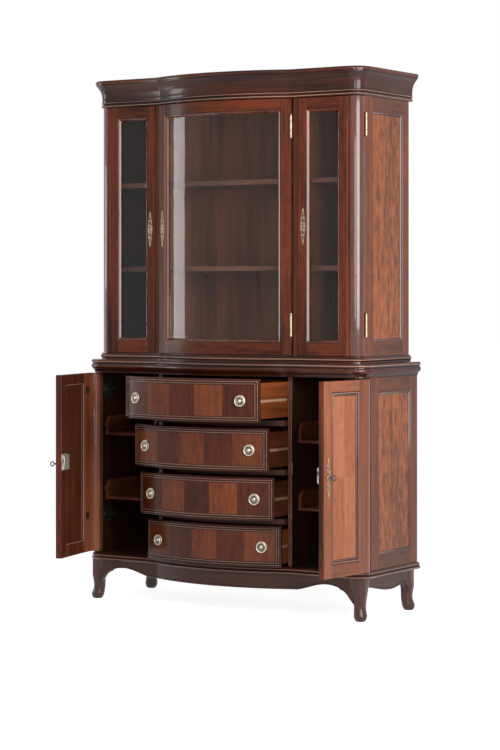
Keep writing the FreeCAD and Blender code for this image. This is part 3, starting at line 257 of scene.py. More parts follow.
RED = ((40, 7.2, 2.1), (155, 31, 9.2))
RED_FINISH = {"coat": 0.06, "gloss": 0.15, "figure": 0.2, "contrast": 13.0}
# the lower doors' outer faces: a lighter copy of the mahogany, with the lamp's sheen painted in
LIT_DOOR_RED = ((142, 40, 17.5), (315, 100, 47))
UPRIGHT = add_wood("mahogany_z", "z", *RED, **RED_FINISH)
ACROSS = add_wood("mahogany_xy", "xy", *RED, **RED_FINISH)
FIELD = add_wood("mahogany_panel", "z", (125, 30, 8), (400, 109, 31), figure=0.45, contrast=13.0)
# a lit copy of the panel wood for the lower doors, with painted sheen
LIT_DOOR_FIELD = add_wood("mahogany_door_panel", "z", (270, 84, 33), (480, 170, 76), figure=0.5, contrast=6.0)
BAND_DARK = add_wood("veneer_dark", "z", (34, 6.4, 2.4), (102, 20.5, 7.4), figure=0.35, gloss=0.16)
BAND_LIGHT = add_wood("veneer_light", "z", (82, 17.2, 6.2), (198, 49, 16.8), figure=0.35, gloss=0.16)
STRING = add_wood("inlay_stringing", "x", (300, 150, 95), (460, 270, 190), rough=0.3)
FLANK = add_wood("mahogany_side", "z", (90, 20, 6), (230, 56, 17), figure=0.25)
# a darker copy of the side wood for the side rails: painted shade
SHADED_FLANK_RAIL = add_wood("mahogany_side_rail", "xy", (60, 13.5, 4.8), (155, 40, 13.5), figure=0.25)
SKIRT = add_wood("apron_wood", "xy", (34, 9.5, 5.2), (86, 26.5, 13.5))
ROUND = add_wood("mahogany_polished", "z", (34, 5.5, 1.8), (140, 26, 8), coat=0.62)
MOULD = add_wood("mahogany_moulded", "xy", (17, 3.8, 1.7), (74, 16, 6), coat=0.16, gloss=0.16)
LIMB = add_wood("leg_wood", "z", (26, 7.5, 4.2), (96, 26, 12.5), coat=0.42)
SHADED = add_wood("shadowed_wood", "z", (12, 4, 2.4), (34, 11, 6.5), rough=0.5, coat=0.0)
BEHIND = add_wood("door_inside", "z", (34, 9.5, 4.5), (130, 33, 13.5), rough=0.34)
# a light wood laid on bead crests as a painted highlight
PAINTED_HIGHLIGHT = add_wood("rubbed_crest", "xy", (85, 50, 37), (140, 88, 68), rough=0.24)
# the lower doors' stiles and rails, in the lit copy with painted sheen
LIT_DOOR_FRONT = add_wood("mahogany_door_stile", "z", *LIT_DOOR_RED, contrast=8.0)
LIT_DOOR_RAIL = add_wood("mahogany_door_rail", "xy", *LIT_DOOR_RED, contrast=8.0)
PILLAR = add_wood("mahogany_column", "z", (36, 4.5, 1.2), (135, 22, 6), rough=0.26, coat=1.0, gloss=0.3)
LIPPING = add_wood("edge_lipping", "z", (75, 26, 14), (170, 64, 38))
TURN = add_wood("mahogany_corner", "xy", (14, 2.2, 0.8), (74, 12.5, 3.8), coat=0.42)
BACKING = add_wood("interior_wood", "z", (45, 12, 5.5), (120, 37, 16.5), rough=0.5, coat=0.0)
# the darker leaves of the lower doors' matched veneer, also a lit copy with painted sheen
LIT_DOOR_DARK_FIELD = add_wood("mahogany_door_leaf", "z", (225, 62, 22), (420, 135, 56), figure=0.5,
                           contrast=6.0)
SHELF = wood("shelf_wood", "x", (30, 8.5, 4.5), (90, 28, 14), rough=0.4, coat=0.05)
DRAWER_WOOD = wood("drawer_wood", "y", (130, 30, 8.5), (310, 82, 25), rough=0.38)
# a darker copy of the drawer wood: painted shade on the sides of drawers two and three
SHADED_DRAWER_WOOD = wood("drawer_wood_dark", "y", (55, 14, 5.5), (150, 42, 16), rough=0.38)
TRAY_WOOD = wood("tray_wood", "y", (36, 9.5, 4.8), (125, 37, 17), rough=0.34)
RUNNER_WOOD = wood("runner_wood", "y", (100, 35, 16), (230, 92, 45), rough=0.5, coat=0.0)
BRASS = metal("antique_brass", (200, 130, 80), (520, 390, 270), 0.34)
PULL_BRASS = metal("ring_pull_brass", (360, 305, 240), (800, 715, 600), 0.3)
NICKEL = metal("lock_nickel", (340, 310, 265), (560, 520, 455), 0.42, 120.0, 0.55)
KEY_STEEL = metal("key_steel", (30, 28, 25), (110, 102, 94), 0.34, 160.0, 0.7)
STEEL = metal("black_hinge_steel", (20, 19, 18), (60, 58, 56), 0.45, 90.0, 0.6)
GLASS = glass("cabinet_glass")


# ---- mesh building
# bead faces whose tone value falls below this level get the painted-highlight wood
PAINTED_HIGHLIGHT_LEVEL = -1.3


def new_object(name, data):
    """An object with that data, in the scene."""
    made = bpy.data.objects.new(name, data)
    bpy.context.scene.collection.objects.link(made)
    return made


class Shape:
    """Collects faces, each with a material number, and a tone value for each point, which on wood also holds
    painted shade and painted highlights.
    """

    def __init__(self, name):
        self.name = name
        self.points = []
        self.faces = []
        self.kinds = []
        self.tones_and_painted_light = []
        self.turned = set()

    def add(self, points, faces, kind, glaze=0.0):
        start = len(self.points)
        self.points += [tuple(p) for p in points]
        self.faces += [tuple(start + i for i in face) for face in faces]
        self.kinds += [kind] * len(faces)
        self.tones_and_painted_light += glaze if isinstance(glaze, list) else [glaze] * len(points)

    def skin(self, rows, kind, closed=False, glaze=None, caps=False):
        """Faces between rows of points; closed joins the ends of a row. Rows whose tone values fall far enough
        below zero take the painted-highlight wood.
        """
        count = len(rows[0])
        faces = []
        highlighted = []
        for row in range(len(rows) - 1):
            for i in range(count if closed else count - 1):
                j = (i + 1) % count
                faces.append((row * count + i, row * count + j, (row + 1) * count + j, (row + 1) * count + i))
            if glaze and glaze[row] + glaze[row + 1] < 2 * PAINTED_HIGHLIGHT_LEVEL:
                highlighted += range(len(self.faces) + len(faces) - (count if closed else count - 1),
                              len(self.faces) + len(faces))
        if caps:
            faces.append(tuple(reversed(range(count))))
            faces.append(tuple((len(rows) - 1) * count + i for i in range(count)))
        tones_and_painted_light = [glaze[row] if glaze else 0.0 for row in range(len(rows)) for _ in range(count)]
        self.add([p for row in rows for p in row], faces, kind, tones_and_painted_light)
        for face in highlighted:
            self.kinds[face] = PAINTED_HIGHLIGHT

    def look(self, start, towards):
        """Turn the open surface that was added since face number start, so that it looks that way."""
        total = Vector((0.0, 0.0, 0.0))
        for face in self.faces[start:]:
            a, b, c, d = (Vector(self.points[i]) for i in face)
            total += (c - a).cross(d - b)
        if total.dot(towards) < 0:
            self.faces[start:] = [tuple(reversed(face)) for face in self.faces[start:]]
        self.turned.update(range(start, len(self.faces)))

    def build(self, replaced=(), body="cabinet", slot="mahogany", materials=WOODS, matrix=None, angle=32.0):
        """Makes the mesh and its piece. The faces in turned keep the way they look; the rest look outward."""
        mesh = bpy.data.meshes.new(self.name)
        mesh.from_pydata(self.points, [], self.faces)
        for material in materials:
            mesh.materials.append(material)
        mesh.polygons.foreach_set("material_index", self.kinds)
        # tone values: board tone and tarnish, with painted shade in hollows and painted highlights on crests
        mesh.attributes.new("glaze", "FLOAT", "POINT").data.foreach_set("value", self.tones_and_painted_light)
        mesh.polygons.foreach_set("use_smooth", [True] * len(self.faces))
        if matrix is not None:
            mesh.transform(matrix)
        tidy = bmesh.new()
        tidy.from_mesh(mesh)
        rest = [face for face in tidy.faces if face.index not in self.turned]
        bmesh.ops.recalc_face_normals(tidy, faces=rest)
        tidy.to_mesh(mesh)
        tidy.free()
        mesh.set_sharp_from_angle(angle=math.radians(angle))
        mesh.update()
        piece = new_object(self.name, mesh)
        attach(piece, body)
        if replaced:
            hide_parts(*replaced)


def tone():
    """A small difference in shade from board to board."""
    return rng.uniform(-0.16, 0.14)


def front_place(face):
    """Local (u across, v into the wood, w up) on a flat front at y = face."""
    return lambda u, v, w: (u, face + v, w)


def bow_place(face):
    """The same on the bowed middle, whose ends are at y = face."""
    centre = face + BOW_RADIUS - BOW_RISE

    def place(u, v, w):
        lean = math.asin(max(-1.0, min(1.0, u / BOW_RADIUS)))
        radius = BOW_RADIUS - v
        return (radius * math.sin(lean), centre - radius * math.cos(lean), w)
    return place


def side_place(side, outer):
    """The same on an outer side, seen from outside; u runs along y."""
    return lambda u, v, w: (side * (outer - v), u, w)


def spread(low, high, cuts):
    return [low + (high - low) * i / cuts for i in range(cuts + 1)]


EASE = 0.0009
FINE_EASE = 0.0003
HAIR_EASE = 0.00002
# where the face away from the front and the one towards it stand in a plank's ring of eight
FAR_FACE = 3
NEAR_FACE = 7


def plank(shape, u, v, w, place, kind, ease=EASE, cuts=1, glaze=None, inner=None, outer=None):
    """A board with eased edges; cuts lets it follow a bow. Two faces may have woods of their own."""
    ends = [(u[0], ease)] + [(x, 0.0) for x in spread(u[0] + ease, u[1] - ease, cuts)] + [(u[1], ease)]
    rows = []
    for x, inset in ends:
        v0, v1, w0, w1 = v[0] + inset, v[1] - inset, w[0] + inset, w[1] - inset
        corners = ((v0, w0 + ease), (v0 + ease, w0), (v1 - ease, w0), (v1, w0 + ease),
                   (v1, w1 - ease), (v1 - ease, w1), (v0 + ease, w1), (v0, w1 - ease))
        rows.append([place(x, a, b) for a, b in corners])
    shade = tone() if glaze is None else glaze
    first_face = len(shape.faces)
    shape.skin(rows, kind, closed=True, caps=True, glaze=[shade] * len(rows))
    for face, wood_kind in ((FAR_FACE, inner), (NEAR_FACE, outer)):
        if wood_kind is not None:
            for row in range(len(rows) - 1):
                shape.kinds[first_face + row * len(corners) + face] = wood_kind


def frame_loop(shape, u, w, profile, place, kind, cuts=1, fill=None):
    """A mitred moulding round a rectangle: (inset, depth, tone value) from the rectangle inward, in mm; the tone
    value paints shade above zero and a highlight below it.
    """
    start = len(shape.faces)
    rows = []
    for inset, depth, _ in profile:
        across, low, high = inside(u, w, inset, cuts)
        row = [place(x, depth / 1000, low) for x in across]
        rows.append(row + [place(x, depth / 1000, high) for x in reversed(across)])
    shape.skin(rows, ROUND if kind == UPRIGHT else kind, closed=True, glaze=[g for _, _, g in profile])
    if fill is not None:
        shape.skin([rows[-1][:cuts + 1], rows[-1][:cuts:-1]], fill)
    shape.look(start, outward(place, u, w, -1 if profile[-1][1] >= profile[0][1] else 1))


def inside(u, w, inset, cuts):
    """Stops across a rectangle that is inset by that many mm, and its low and high edge."""
    inset /= 1000
    return spread(u[0] + inset, u[1] - inset, cuts), w[0] + inset, w[1] - inset


def outward(place, u, w, way):
    """The way that a face looks on the front, where way is -1, or on the back, where it is 1."""
    middle = (sum(u) / 2, sum(w) / 2)
    return way * (Vector(place(middle[0], 0.001, middle[1])) - Vector(place(middle[0], 0.0, middle[1])))


def arc(start, end, bulge, steps=6):
    """Points from start to end on a curve that leaves the straight line by bulge times its length."""
    (x0, y0), (x1, y1) = start, end
    dx, dy = x1 - x0, y1 - y0
    made = []
    for i in range(steps + 1):
        t = i / steps
        off = 4 * bulge * t * (1 - t)
        made.append((x0 + dx * t - dy * off, y0 + dy * t + dx * off))
    return made


def prism(shape, outline, low, high, kind, flat_faces=0, flat_kind=UPRIGHT):
    """An upright solid with that outline of (x, y) points; its first faces may have a wood of their own."""
    middle_x = sum(p[0] for p in outline) / len(outline)
    middle_y = sum(p[1] for p in outline) / len(outline)
    size = max(max(abs(p[0] - middle_x), abs(p[1] - middle_y)) for p in outline)
    shrink = 1 - EASE / size
    small = [(middle_x + (x - middle_x) * shrink, middle_y + (y - middle_y) * shrink) for x, y in outline]
    rows = [[(x, y, low) for x, y in small], [(x, y, low + EASE) for x, y in outline],
            [(x, y, high - EASE) for x, y in outline], [(x, y, high) for x, y in small]]
    first_face = len(shape.faces)
    shape.skin(rows, kind, closed=True, caps=True)
    for row in range(len(rows) - 1):
        for i in range(flat_faces):
            shape.kinds[first_face + row * len(outline) + i] = flat_kind


def lathe(shape, profile, place, kind, steps):
    """A turned form: (radius, distance along the axis, tone value), in mm as place takes them."""
    turns = [2 * math.pi * i / steps for i in range(steps)]
    rows = [[place(radius * math.cos(turn), radius * math.sin(turn), along) for turn in turns]
            for radius, along, _ in profile]
    shape.skin(rows, kind, closed=True, caps=True, glaze=[g for _, _, g in profile])


def tube(shape, path, radius, kind, steps, closed=False):
    """A round wire along points; radius is in mm and may be a list, one for each point."""
    count = len(path)
    points = [Vector(p) for p in path]
    rows = []
    up = Vector((0.31, 0.17, 0.93)).normalized()
    for i, point in enumerate(points):
        if closed:
            way = points[(i + 1) % count] - points[i - 1]
        else:
            way = points[min(i + 1, count - 1)] - points[max(i - 1, 0)]
        way.normalize()
        first = way.cross(up).normalized()
        second = way.cross(first).normalized()
        size = (radius[i] if isinstance(radius, list) else radius) / 1000
        rows.append([tuple(point + first * size * math.cos(2 * math.pi * k / steps)
                           + second * size * math.sin(2 * math.pi * k / steps)) for k in range(steps)])
    if closed:
        rows.append(rows[0])
    shape.skin(rows, kind, closed=True, caps=not closed)


# ---- mouldings that follow the front
CORNER_STEPS = 10
BOW_STEPS = 36


def plan_line(half, face, corner, back, offset):
    """Points of a breakfront board's edge, from the left back corner round the front to the right."""
    half += offset
    face -= offset
    corner += offset
    turns = [math.pi / 2 * i / CORNER_STEPS for i in range(CORNER_STEPS + 1)]
    line = [(-half, back), (-half, (back + face + corner) / 2)]
    line += [(-half + corner - corner * math.cos(t), face + corner - corner * math.sin(t)) for t in turns]
    line += [(x, face + BOW_RADIUS - BOW_RISE - math.sqrt(BOW_RADIUS ** 2 - x * x))
             for x in spread(-MIDDLE, MIDDLE, BOW_STEPS)]
    line += [(half - corner + corner * math.sin(t), face + corner - corner * math.cos(t)) for t in turns]
    return line + [(half, (back + face + corner) / 2), (half, back)]


def polish_corners(shape, count):
    """Gives the faces of the two round corners their glossier wood; count is the points in a row."""
    left = 2
    right = count - 3 - CORNER_STEPS
    for row in range(len(shape.faces) // (count - 1)):
        for start in (left, right):
            for face in range(row * (count - 1) + start, row * (count - 1) + start + CORNER_STEPS):
                if shape.kinds[face] == MOULD:
                    shape.kinds[face] = TURN


def moulded_edge(name, profile, plan, low):
    """A shape with the swept edge of a board, and the rows of points that it is made of."""
    shape = Shape(name)
    rows = [[(x, y, low + up) for x, y in plan_line(*plan, out)] for out, up, _ in profile]
    shape.skin(rows, MOULD, glaze=[g for _, _, g in profile])
    polish_corners(shape, len(rows[0]))
    return shape, rows


def swept_board(name, node_name, profile, plan, top=None):
    """A board whose edge has that profile of (offset outward, height, tone value with painted shade and painted
    highlights).
    """
    shape, rows = moulded_edge(name, profile, plan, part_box(node_name)[0].z)
    count = len(rows[0])
    shape.add(rows[0], [tuple(range(count))], MOULD)
    shape.add(rows[-1], [tuple(reversed(range(count)))], MOULD if top is None else top)
    shape.skin([[row[0] for row in rows], [row[-1] for row in rows]], MOULD)
    shape.build([node_name])


def crested(points, highlight):
    """Gives each point of a bead its tone value: the crest is lightened as a painted highlight and the edges a
    little darkened as painted shade.
    """
    last = len(points) - 1
    return [(x, y, 0.1 - (highlight + 0.1) * (4 * i * (last - i) / last ** 2) ** 2)
            for i, (x, y) in enumerate(points)]


def profile_of(*runs):
    """Joins runs of (offset, height) points in mm; a tone value follows each: painted shade above zero, and below
    zero a painted highlight on the bead's crest.
    """
    made = []
    for points, shade in runs:
        points = [(out / 1000, up / 1000) for out, up in points]
        if shade < 0:
            made += crested(points, -shade)
        else:
            made += [(out, up, shade) for out, up in points]
    return made


# The third value of each run darkens the wood as painted shade where it is above zero; a negative one lightens a
# bead's crest as a painted highlight.
BASE_MOULD = profile_of(
    ([(10, 0)], 0.3),
    (arc((10.5, 0.8), (10.5, 11.2), -0.42, 8), -1.6),
    ([(8.5, 12), (8.5, 13.2)], 0.65),
    (arc((9.5, 14), (8.5, 23.5), -0.32, 8), -1.6),
    ([(7, 24.2), (5, 27)], 0.1),
)
TOP_MOULD = profile_of(
    ([(2, 0), (2, 4)], 0.3),
    (arc((3, 5), (13, 16), 0.16, 8), 0.15),
    ([(13, 17.2)], 0.5),
    (arc((13.5, 18), (13.5, 35), -0.16, 8), -0.5),
    ([(10.5, 36.2), (10.5, 40)], 0.7),
    (arc((14, 41), (14.5, 50.5), -0.16, 6), -1.6),
    ([(13, 53), (10, 54)], 0.0),
)
PLINTH_MOULD = profile_of(
    ([(8, 0), (8, 6.5)], 0.25),
    ([(8, 7.5)], 0.6),
    (arc((8.8, 8), (8.8, 21.5), -0.26, 8), -1.6),
    ([(6.6, 22.5)], 0.6),
    (arc((7, 23), (5, 27), 0.1, 4), 0.0),
)
CORNICE_MOULD = profile_of(
    ([(3.5, 0)], 0.3),
    (arc((4.5, 1), (4.5, 12), -0.42, 8), -1.8),
    ([(4.2, 12.8), (4.2, 15)], 0.65),
    (arc((5.5, 15.8), (5.5, 23.5), -0.46, 8), -1.8),
    ([(5.5, 24.2), (6.5, 30)], 0.35),
    (arc((6.5, 31), (30, 90), 0.12, 16), 0.0),
    ([(31, 92), (31, 94.5)], 0.5),
    (arc((32.5, 95.5), (32.5, 108.5), -0.1, 6), -1.2),
    ([(31, 110), (28, 111)], 0.0),
)

swept_board("base_moulding", "base_board", BASE_MOULD, LOWER_PLAN, SHADED)
swept_board("waist_moulding", "lower_top_board", TOP_MOULD, LOWER_PLAN)
swept_board("plinth_moulding", "upper_base_board", PLINTH_MOULD, UPPER_PLAN)


def cornice():
    """The crown with its open recess behind the front and side members."""
    low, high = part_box("cornice")
    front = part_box("upper_top_board")[0].y
    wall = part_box("upper_top_board")[1].x
    plan = (UPPER_HALF, UPPER_FACE, UPPER_CORNER, high.y)
    shape, rows = moulded_edge("crown_cornice", CORNICE_MOULD, plan, low.z)

    def inner(z):
        made = []
        for x, y, _ in rows[-1]:
            at_side = abs(x) > wall and y > front
            made.append((math.copysign(wall, x) if at_side else max(-wall, min(wall, x)), max(y, front), z))
        return made
    shape.skin([rows[-1], inner(high.z)], ACROSS)
    shape.skin([inner(high.z), inner(low.z)], ACROSS)
    shape.skin([inner(low.z), rows[0]], ACROSS)
    for end in (0, -1):
        across = [row[end] for row in rows]
        back = [(math.copysign(wall, across[0][0]), high.y, p[2]) for p in across]
        shape.skin([across, back], ACROSS)
    shape.build(["cornice"])


cornice()

# ---- legs and aprons
# share of the height, half width and reach along the outward diagonal in mm, squareness
LEG_FORMS = ((0.0, 16.5, 26.2, 2.2), (0.022, 20, 26.2, 2.2), (0.062, 23.6, 25.8, 2.2),
             (0.125, 25.8, 24.6, 2.2), (0.185, 24.8, 22, 2.2), (0.25, 23.4, 19.2, 2.3),
             (0.34, 22.8, 17.6, 2.4), (0.455, 23.6, 18.4, 2.6), (0.58, 25.6, 19.5, 2.8),
             (0.7, 28.6, 16, 3), (0.8, 31.6, 12, 3.2), (0.9, 33.8, 8.6, 3.6), (1.0, 34.6, 7, 4))
CAD_FOOT_REACH = 0.0253 + 0.025 * math.sqrt(0.5)


def between(forms, steps):
    """More forms between those given, on a smooth curve through them."""
    made = []
    last = len(forms) - 1
    for i in range(last):
        a, b, c, d = (forms[max(0, min(last, i + k))] for k in (-1, 0, 1, 2))
        for step in range(steps):
            t = step / steps
            made.append(tuple(0.5 * (2 * q + (r - p) * t + (2 * p - 5 * q + 4 * r - s) * t * t
                                     + (3 * q - p - 3 * r + s) * t ** 3) for p, q, r, s in zip(a, b, c, d)))
    return made + [forms[-1]]


def section(x, y, z, half, square, count=40):
    """A level ring between a round and a square."""
    ring = []
    for i in range(count):
        turn = 2 * math.pi * i / count
        across, along = math.cos(turn), math.sin(turn)
        ring.append((x + half * math.copysign(abs(across) ** (2 / square), across),
                     y + half * math.copysign(abs(along) ** (2 / square), along), z))
    return ring


base_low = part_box("base_board")[0].z
leg_low, leg_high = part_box("cabriole_legs")
LEG_X = leg_high.x - CAD_FOOT_REACH
LEG_FRONT = leg_low.y + CAD_FOOT_REACH
LEG_BACK = leg_high.y - CAD_FOOT_REACH
shape = Shape("cabriole_legs_carved")
for side in (-1, 1):
    for y, way in ((LEG_FRONT, -1), (LEG_BACK, 1)):
        rows = []
        for share, half, reach, square in between(LEG_FORMS, 4):
            off = reach / 1000 * math.sqrt(0.5)
            ring = section(LEG_X * side + off * side, y + off * way, leg_high.z * share, half / 1000, square)
            rows.append(ring)
        shape.skin(rows, LIMB, closed=True, caps=True, glaze=[tone() * 0.5] * len(rows))
shape.build(["cabriole_legs"], angle=50.0)

APRON_THICKNESS = 0.02
APRON_RECESS = 0.008
# distance from the middle of the front, and height of the lower edge, in mm
HALF_FRONT_EDGE = ((0, 104), (320, 104), (352, 105), (376, 110), (400, 117), (424, 124), (445, 129.5),
                   (466, 133), (485, 134.5), (505, 133.5), (520, 131), (535, 127.5), (545, 123.5),
                   (549, 118), (557, 116.5), (566, 112), (580, 100), (590, 87), (600, 75), (608, 66))
FRONT_EDGE = [(-x, z) for x, z in reversed(HALF_FRONT_EDGE)] + list(HALF_FRONT_EDGE[1:])
# distance from the middle of a side, forward first, and height of the lower edge, in mm
SIDE_EDGE = ((-165, 127), (-143, 126), (-104, 119), (-60, 110), (-20, 104.5), (20, 103), (45, 104),
             (80, 109.5), (108, 115.5), (124, 118), (131, 116.5), (138, 112), (146, 104), (155, 92),
             (165, 80))


def level_at(edge, place):
    """The height of that lower edge at a place along it."""
    for (start, low_start), (end, low_end) in zip(edge, edge[1:]):
        if place <= end:
            return low_start + (low_end - low_start) * (place - start) / (end - start)
    return edge[-1][1]


def apron(name, edge, middle, place, cuts, replaced=()):
    """A board 20 mm thick whose lower edge is cut to a line, with a small bead along it."""
    edge = [(x / 1000, z / 1000) for x, z in edge]
    shape = Shape(name)
    stops = sorted({round(x, 5) for x in spread(edge[0][0], edge[-1][0], cuts)} | {x for x, _ in edge})
    rows = []
    for x in stops:
        low = level_at(edge, x)
        section_points = ((0.0, base_low), (0.0, low + 0.009), (0.0008, low + 0.0084), (0.0008, low + 0.0076),
                          (-0.0006, low + 0.0066), (-0.0012, low + 0.0042), (-0.0006, low + 0.0016),
                          (0.0016, low), (APRON_THICKNESS - 0.002, low), (APRON_THICKNESS, low + 0.002),
                          (APRON_THICKNESS, base_low))
        rows.append([place(middle + x, v, w) for v, w in section_points])
    shape.skin(rows, SKIRT, closed=True, caps=True)
    shape.build(replaced, angle=40.0)


def breakfront_place(face):
    """A front that is flat at the sides and bowed in the middle."""
    bowed, flat = bow_place(face), front_place(face)
    return lambda u, v, w: bowed(u, v, w) if abs(u) < MIDDLE else flat(u, v, w)


apron("apron_front", FRONT_EDGE, 0.0, breakfront_place(LOWER_FACE + APRON_RECESS), 56, ["aprons"])
for side_name, side in SIDES:
    apron("apron_side_" + side_name, SIDE_EDGE, (LEG_FRONT + LEG_BACK) / 2,
          side_place(side, LOWER_HALF - APRON_RECESS), 24)

# ---- framed sides
SIDE_STILE = 0.054
SIDE_RAIL = 0.058
SIDE_THICKNESS = 0.022
# In these profiles the third values are painted shade in the hollows, and a faint painted highlight below zero.
PANEL_MOULD = [(0, 0, 0), (1.2, 1.2, 0.4), (2.2, 1.2, 0.4), (3.4, 0.4, -0.2), (5, 1, -0.2), (7, 3.4, 0),
               (8.6, 5.6, 0.25), (9.2, 6.2, 0.6), (11, 6.2, 0)]
PANEL_BACK_MOULD = [(0, 22, 0), (3, 19, 0.2), (3, 16, 0.2), (6, 16, 0)]


def framed(shape, u, w, place, thickness, stile, bottom, top, mould, grain, cuts=1, back=None,
           upright=UPRIGHT, inner=SHADED):
    """Two stiles and two rails; the mould lines the opening and its last step holds a panel."""
    inner_u = (u[0] + stile, u[1] - stile)
    inner_w = (w[0] + bottom, w[1] - top)
    for upright_u in ((u[0], inner_u[0]), (inner_u[1], u[1])):
        plank(shape, upright_u, (0, thickness), w, place, upright, inner=inner)
    for rail_w in ((w[0], inner_w[0]), (inner_w[1], w[1])):
        plank(shape, inner_u, (0, thickness), rail_w, place, grain, cuts=cuts, inner=inner)
    frame_loop(shape, inner_u, inner_w, mould, place, UPRIGHT, cuts, fill=back)
    return inner_u, inner_w


for side_name, side in SIDES:
    for level, half in (("upper", UPPER_HALF), ("lower", LOWER_HALF)):
        low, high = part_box(level + "_sides")
        shape = Shape("%s_side_%s" % (level, side_name))
        place = side_place(side, half)
        # the side rails take the darker copy of the side wood, a painted shade
        opening = framed(shape, (low.y, high.y), (low.z, high.z), place, SIDE_THICKNESS, SIDE_STILE,
                         SIDE_RAIL, SIDE_RAIL, PANEL_MOULD, SHADED_FLANK_RAIL, back=FIELD, upright=FLANK)
        frame_loop(shape, *opening, PANEL_BACK_MOULD, place, SHADED, fill=SHADED)
        shape.build([level + "_sides"] if side < 0 else [])

low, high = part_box("lower_partitions")
PARTITION_THICKNESS = 0.018
# two thin light strips on each partition's front edge are painted highlight lines near its arrises
HIGHLIGHT_LINE_INSET = 0.0035
HIGHLIGHT_LINE_HALF = 0.0008
HIGHLIGHT_LINE_PROUD = 0.00005
HIGHLIGHT_LINE_DEPTH = 0.0005
shape = Shape("lower_partition_boards")
for side in (-1, 1):
    board_x = sorted((side * high.x, side * (high.x - PARTITION_THICKNESS)))
    plank(shape, board_x, (low.y, high.y), (low.z, high.z), front_place(0.0), SHADED, outer=LIPPING)
    # the painted highlight lines near both arrises of the front edge
    for middle_x in (board_x[0] + HIGHLIGHT_LINE_INSET, board_x[1] - HIGHLIGHT_LINE_INSET):
        plank(shape, (middle_x - HIGHLIGHT_LINE_HALF, middle_x + HIGHLIGHT_LINE_HALF),
              (low.y - HIGHLIGHT_LINE_PROUD, low.y + HIGHLIGHT_LINE_DEPTH), (low.z + 0.001, high.z - 0.001),
              front_place(0.0), STRING, HAIR_EASE, glaze=0.1)
shape.build(["lower_partitions"])

low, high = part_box("lower_back_panel")
shape = Shape("lower_back_boards")
plank(shape, (low.x, high.x), (low.y, high.y), (low.z, high.z), front_place(0.0), SHADED, glaze=0.0,
      inner=BACKING)
shape.build(["lower_back_panel"], slot="interior_wood")

# ---- upper doors
SIGHT_STILE = 0.04
SIGHT_BOTTOM = 0.051
SIGHT_TOP = 0.045
# The third values are painted shade in the hollows, and a painted highlight along the bevel below zero.
GLAZED_MOULD = ([(0, 0, 0), (0.8, 1.3, 0.5), (2, 1.3, 0.3)]
                + [(x, y, -0.3) for x, y in arc((2.3, 0.3), (10.6, 9.2), -0.05, 6)]
                + [(11, 9.8, 0.45), (11, 10.6, 0.2), (2, 10.8, 0.2), (2, 22, 0), (0, 22, 0)])
CORNER_STILE = 0.052
CORNER_TAIL = 0.002
GROOVE_INSET = 0.014
GROOVE = 0.0016
OUTER_TURNS = 14
INNER_TURNS = 10


def door_place(side, face):
    """Local (u outward from the middle, v into the wood, w up) on a flat front at y = face."""
    return lambda u, v, w: (side * u, face + v, w)


def corner_stile(side, start, half, face, radius, thickness, tail=0.0, groove=None):
    """Plan of a hinge stile: a flat part, a round corner and a short return along the side."""
    def at(x, y):
        return (side * x, face + y)
    line = [at(start, 0)]
    if groove:
        line += [at(groove - GROOVE, 0), at(groove, GROOVE), at(groove + GROOVE, 0)]
    centre = half - radius
    for i in range(OUTER_TURNS + 1):
        turn = math.pi / 2 * i / OUTER_TURNS
        line.append(at(centre + radius * math.sin(turn), radius - radius * math.cos(turn)))
    if tail:
        line += [at(half, radius + tail), at(half - thickness, radius + tail)]
    inner = radius - thickness
    for i in range(INNER_TURNS + 1):
        turn = math.pi / 2 * (1 - i / INNER_TURNS)
        line.append(at(centre + inner * math.sin(turn), radius - inner * math.cos(turn)))
    return line + [at(start, thickness)]


for side_name, side in SIDES:
    node_name = "upper_%s_door" % side_name
    low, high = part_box(node_name)
    edge = low.x if side > 0 else -high.x
    flat_end = UPPER_HALF - UPPER_CORNER - CORNER_STILE
    shape = Shape(node_name + "_frame")
    place = door_place(side, UPPER_FACE)
    plank(shape, (edge, edge + SIGHT_STILE), (0, DOOR_THICKNESS), (low.z, high.z), place, UPRIGHT,
          inner=SHADED)
    plan = corner_stile(side, flat_end, UPPER_HALF, UPPER_FACE, UPPER_CORNER, DOOR_THICKNESS,
                        CORNER_TAIL, UPPER_HALF - UPPER_CORNER - GROOVE_INSET)
    prism(shape, plan, low.z, high.z, PILLAR, flat_faces=4)
    opening = (edge + SIGHT_STILE, flat_end)
    inner_w = (low.z + SIGHT_BOTTOM, high.z - SIGHT_TOP)
    for rail in ((low.z, inner_w[0]), (inner_w[1], high.z)):
        plank(shape, opening, (0, DOOR_THICKNESS), rail, place, ACROSS, inner=SHADED)
    frame_loop(shape, opening, inner_w, GLAZED_MOULD, place, UPRIGHT)
    shape.build([node_name], node_name)

low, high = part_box("upper_centre_door")
centre_place = bow_place(low.y + BOW_RISE)
shape = Shape("upper_centre_door_frame")
framed(shape, (low.x, high.x), (low.z, high.z), centre_place, DOOR_THICKNESS, SIGHT_STILE, SIGHT_BOTTOM,
       SIGHT_TOP, GLAZED_MOULD, ACROSS, cuts=30)
shape.build(["upper_centre_door"], "upper_centre_door")

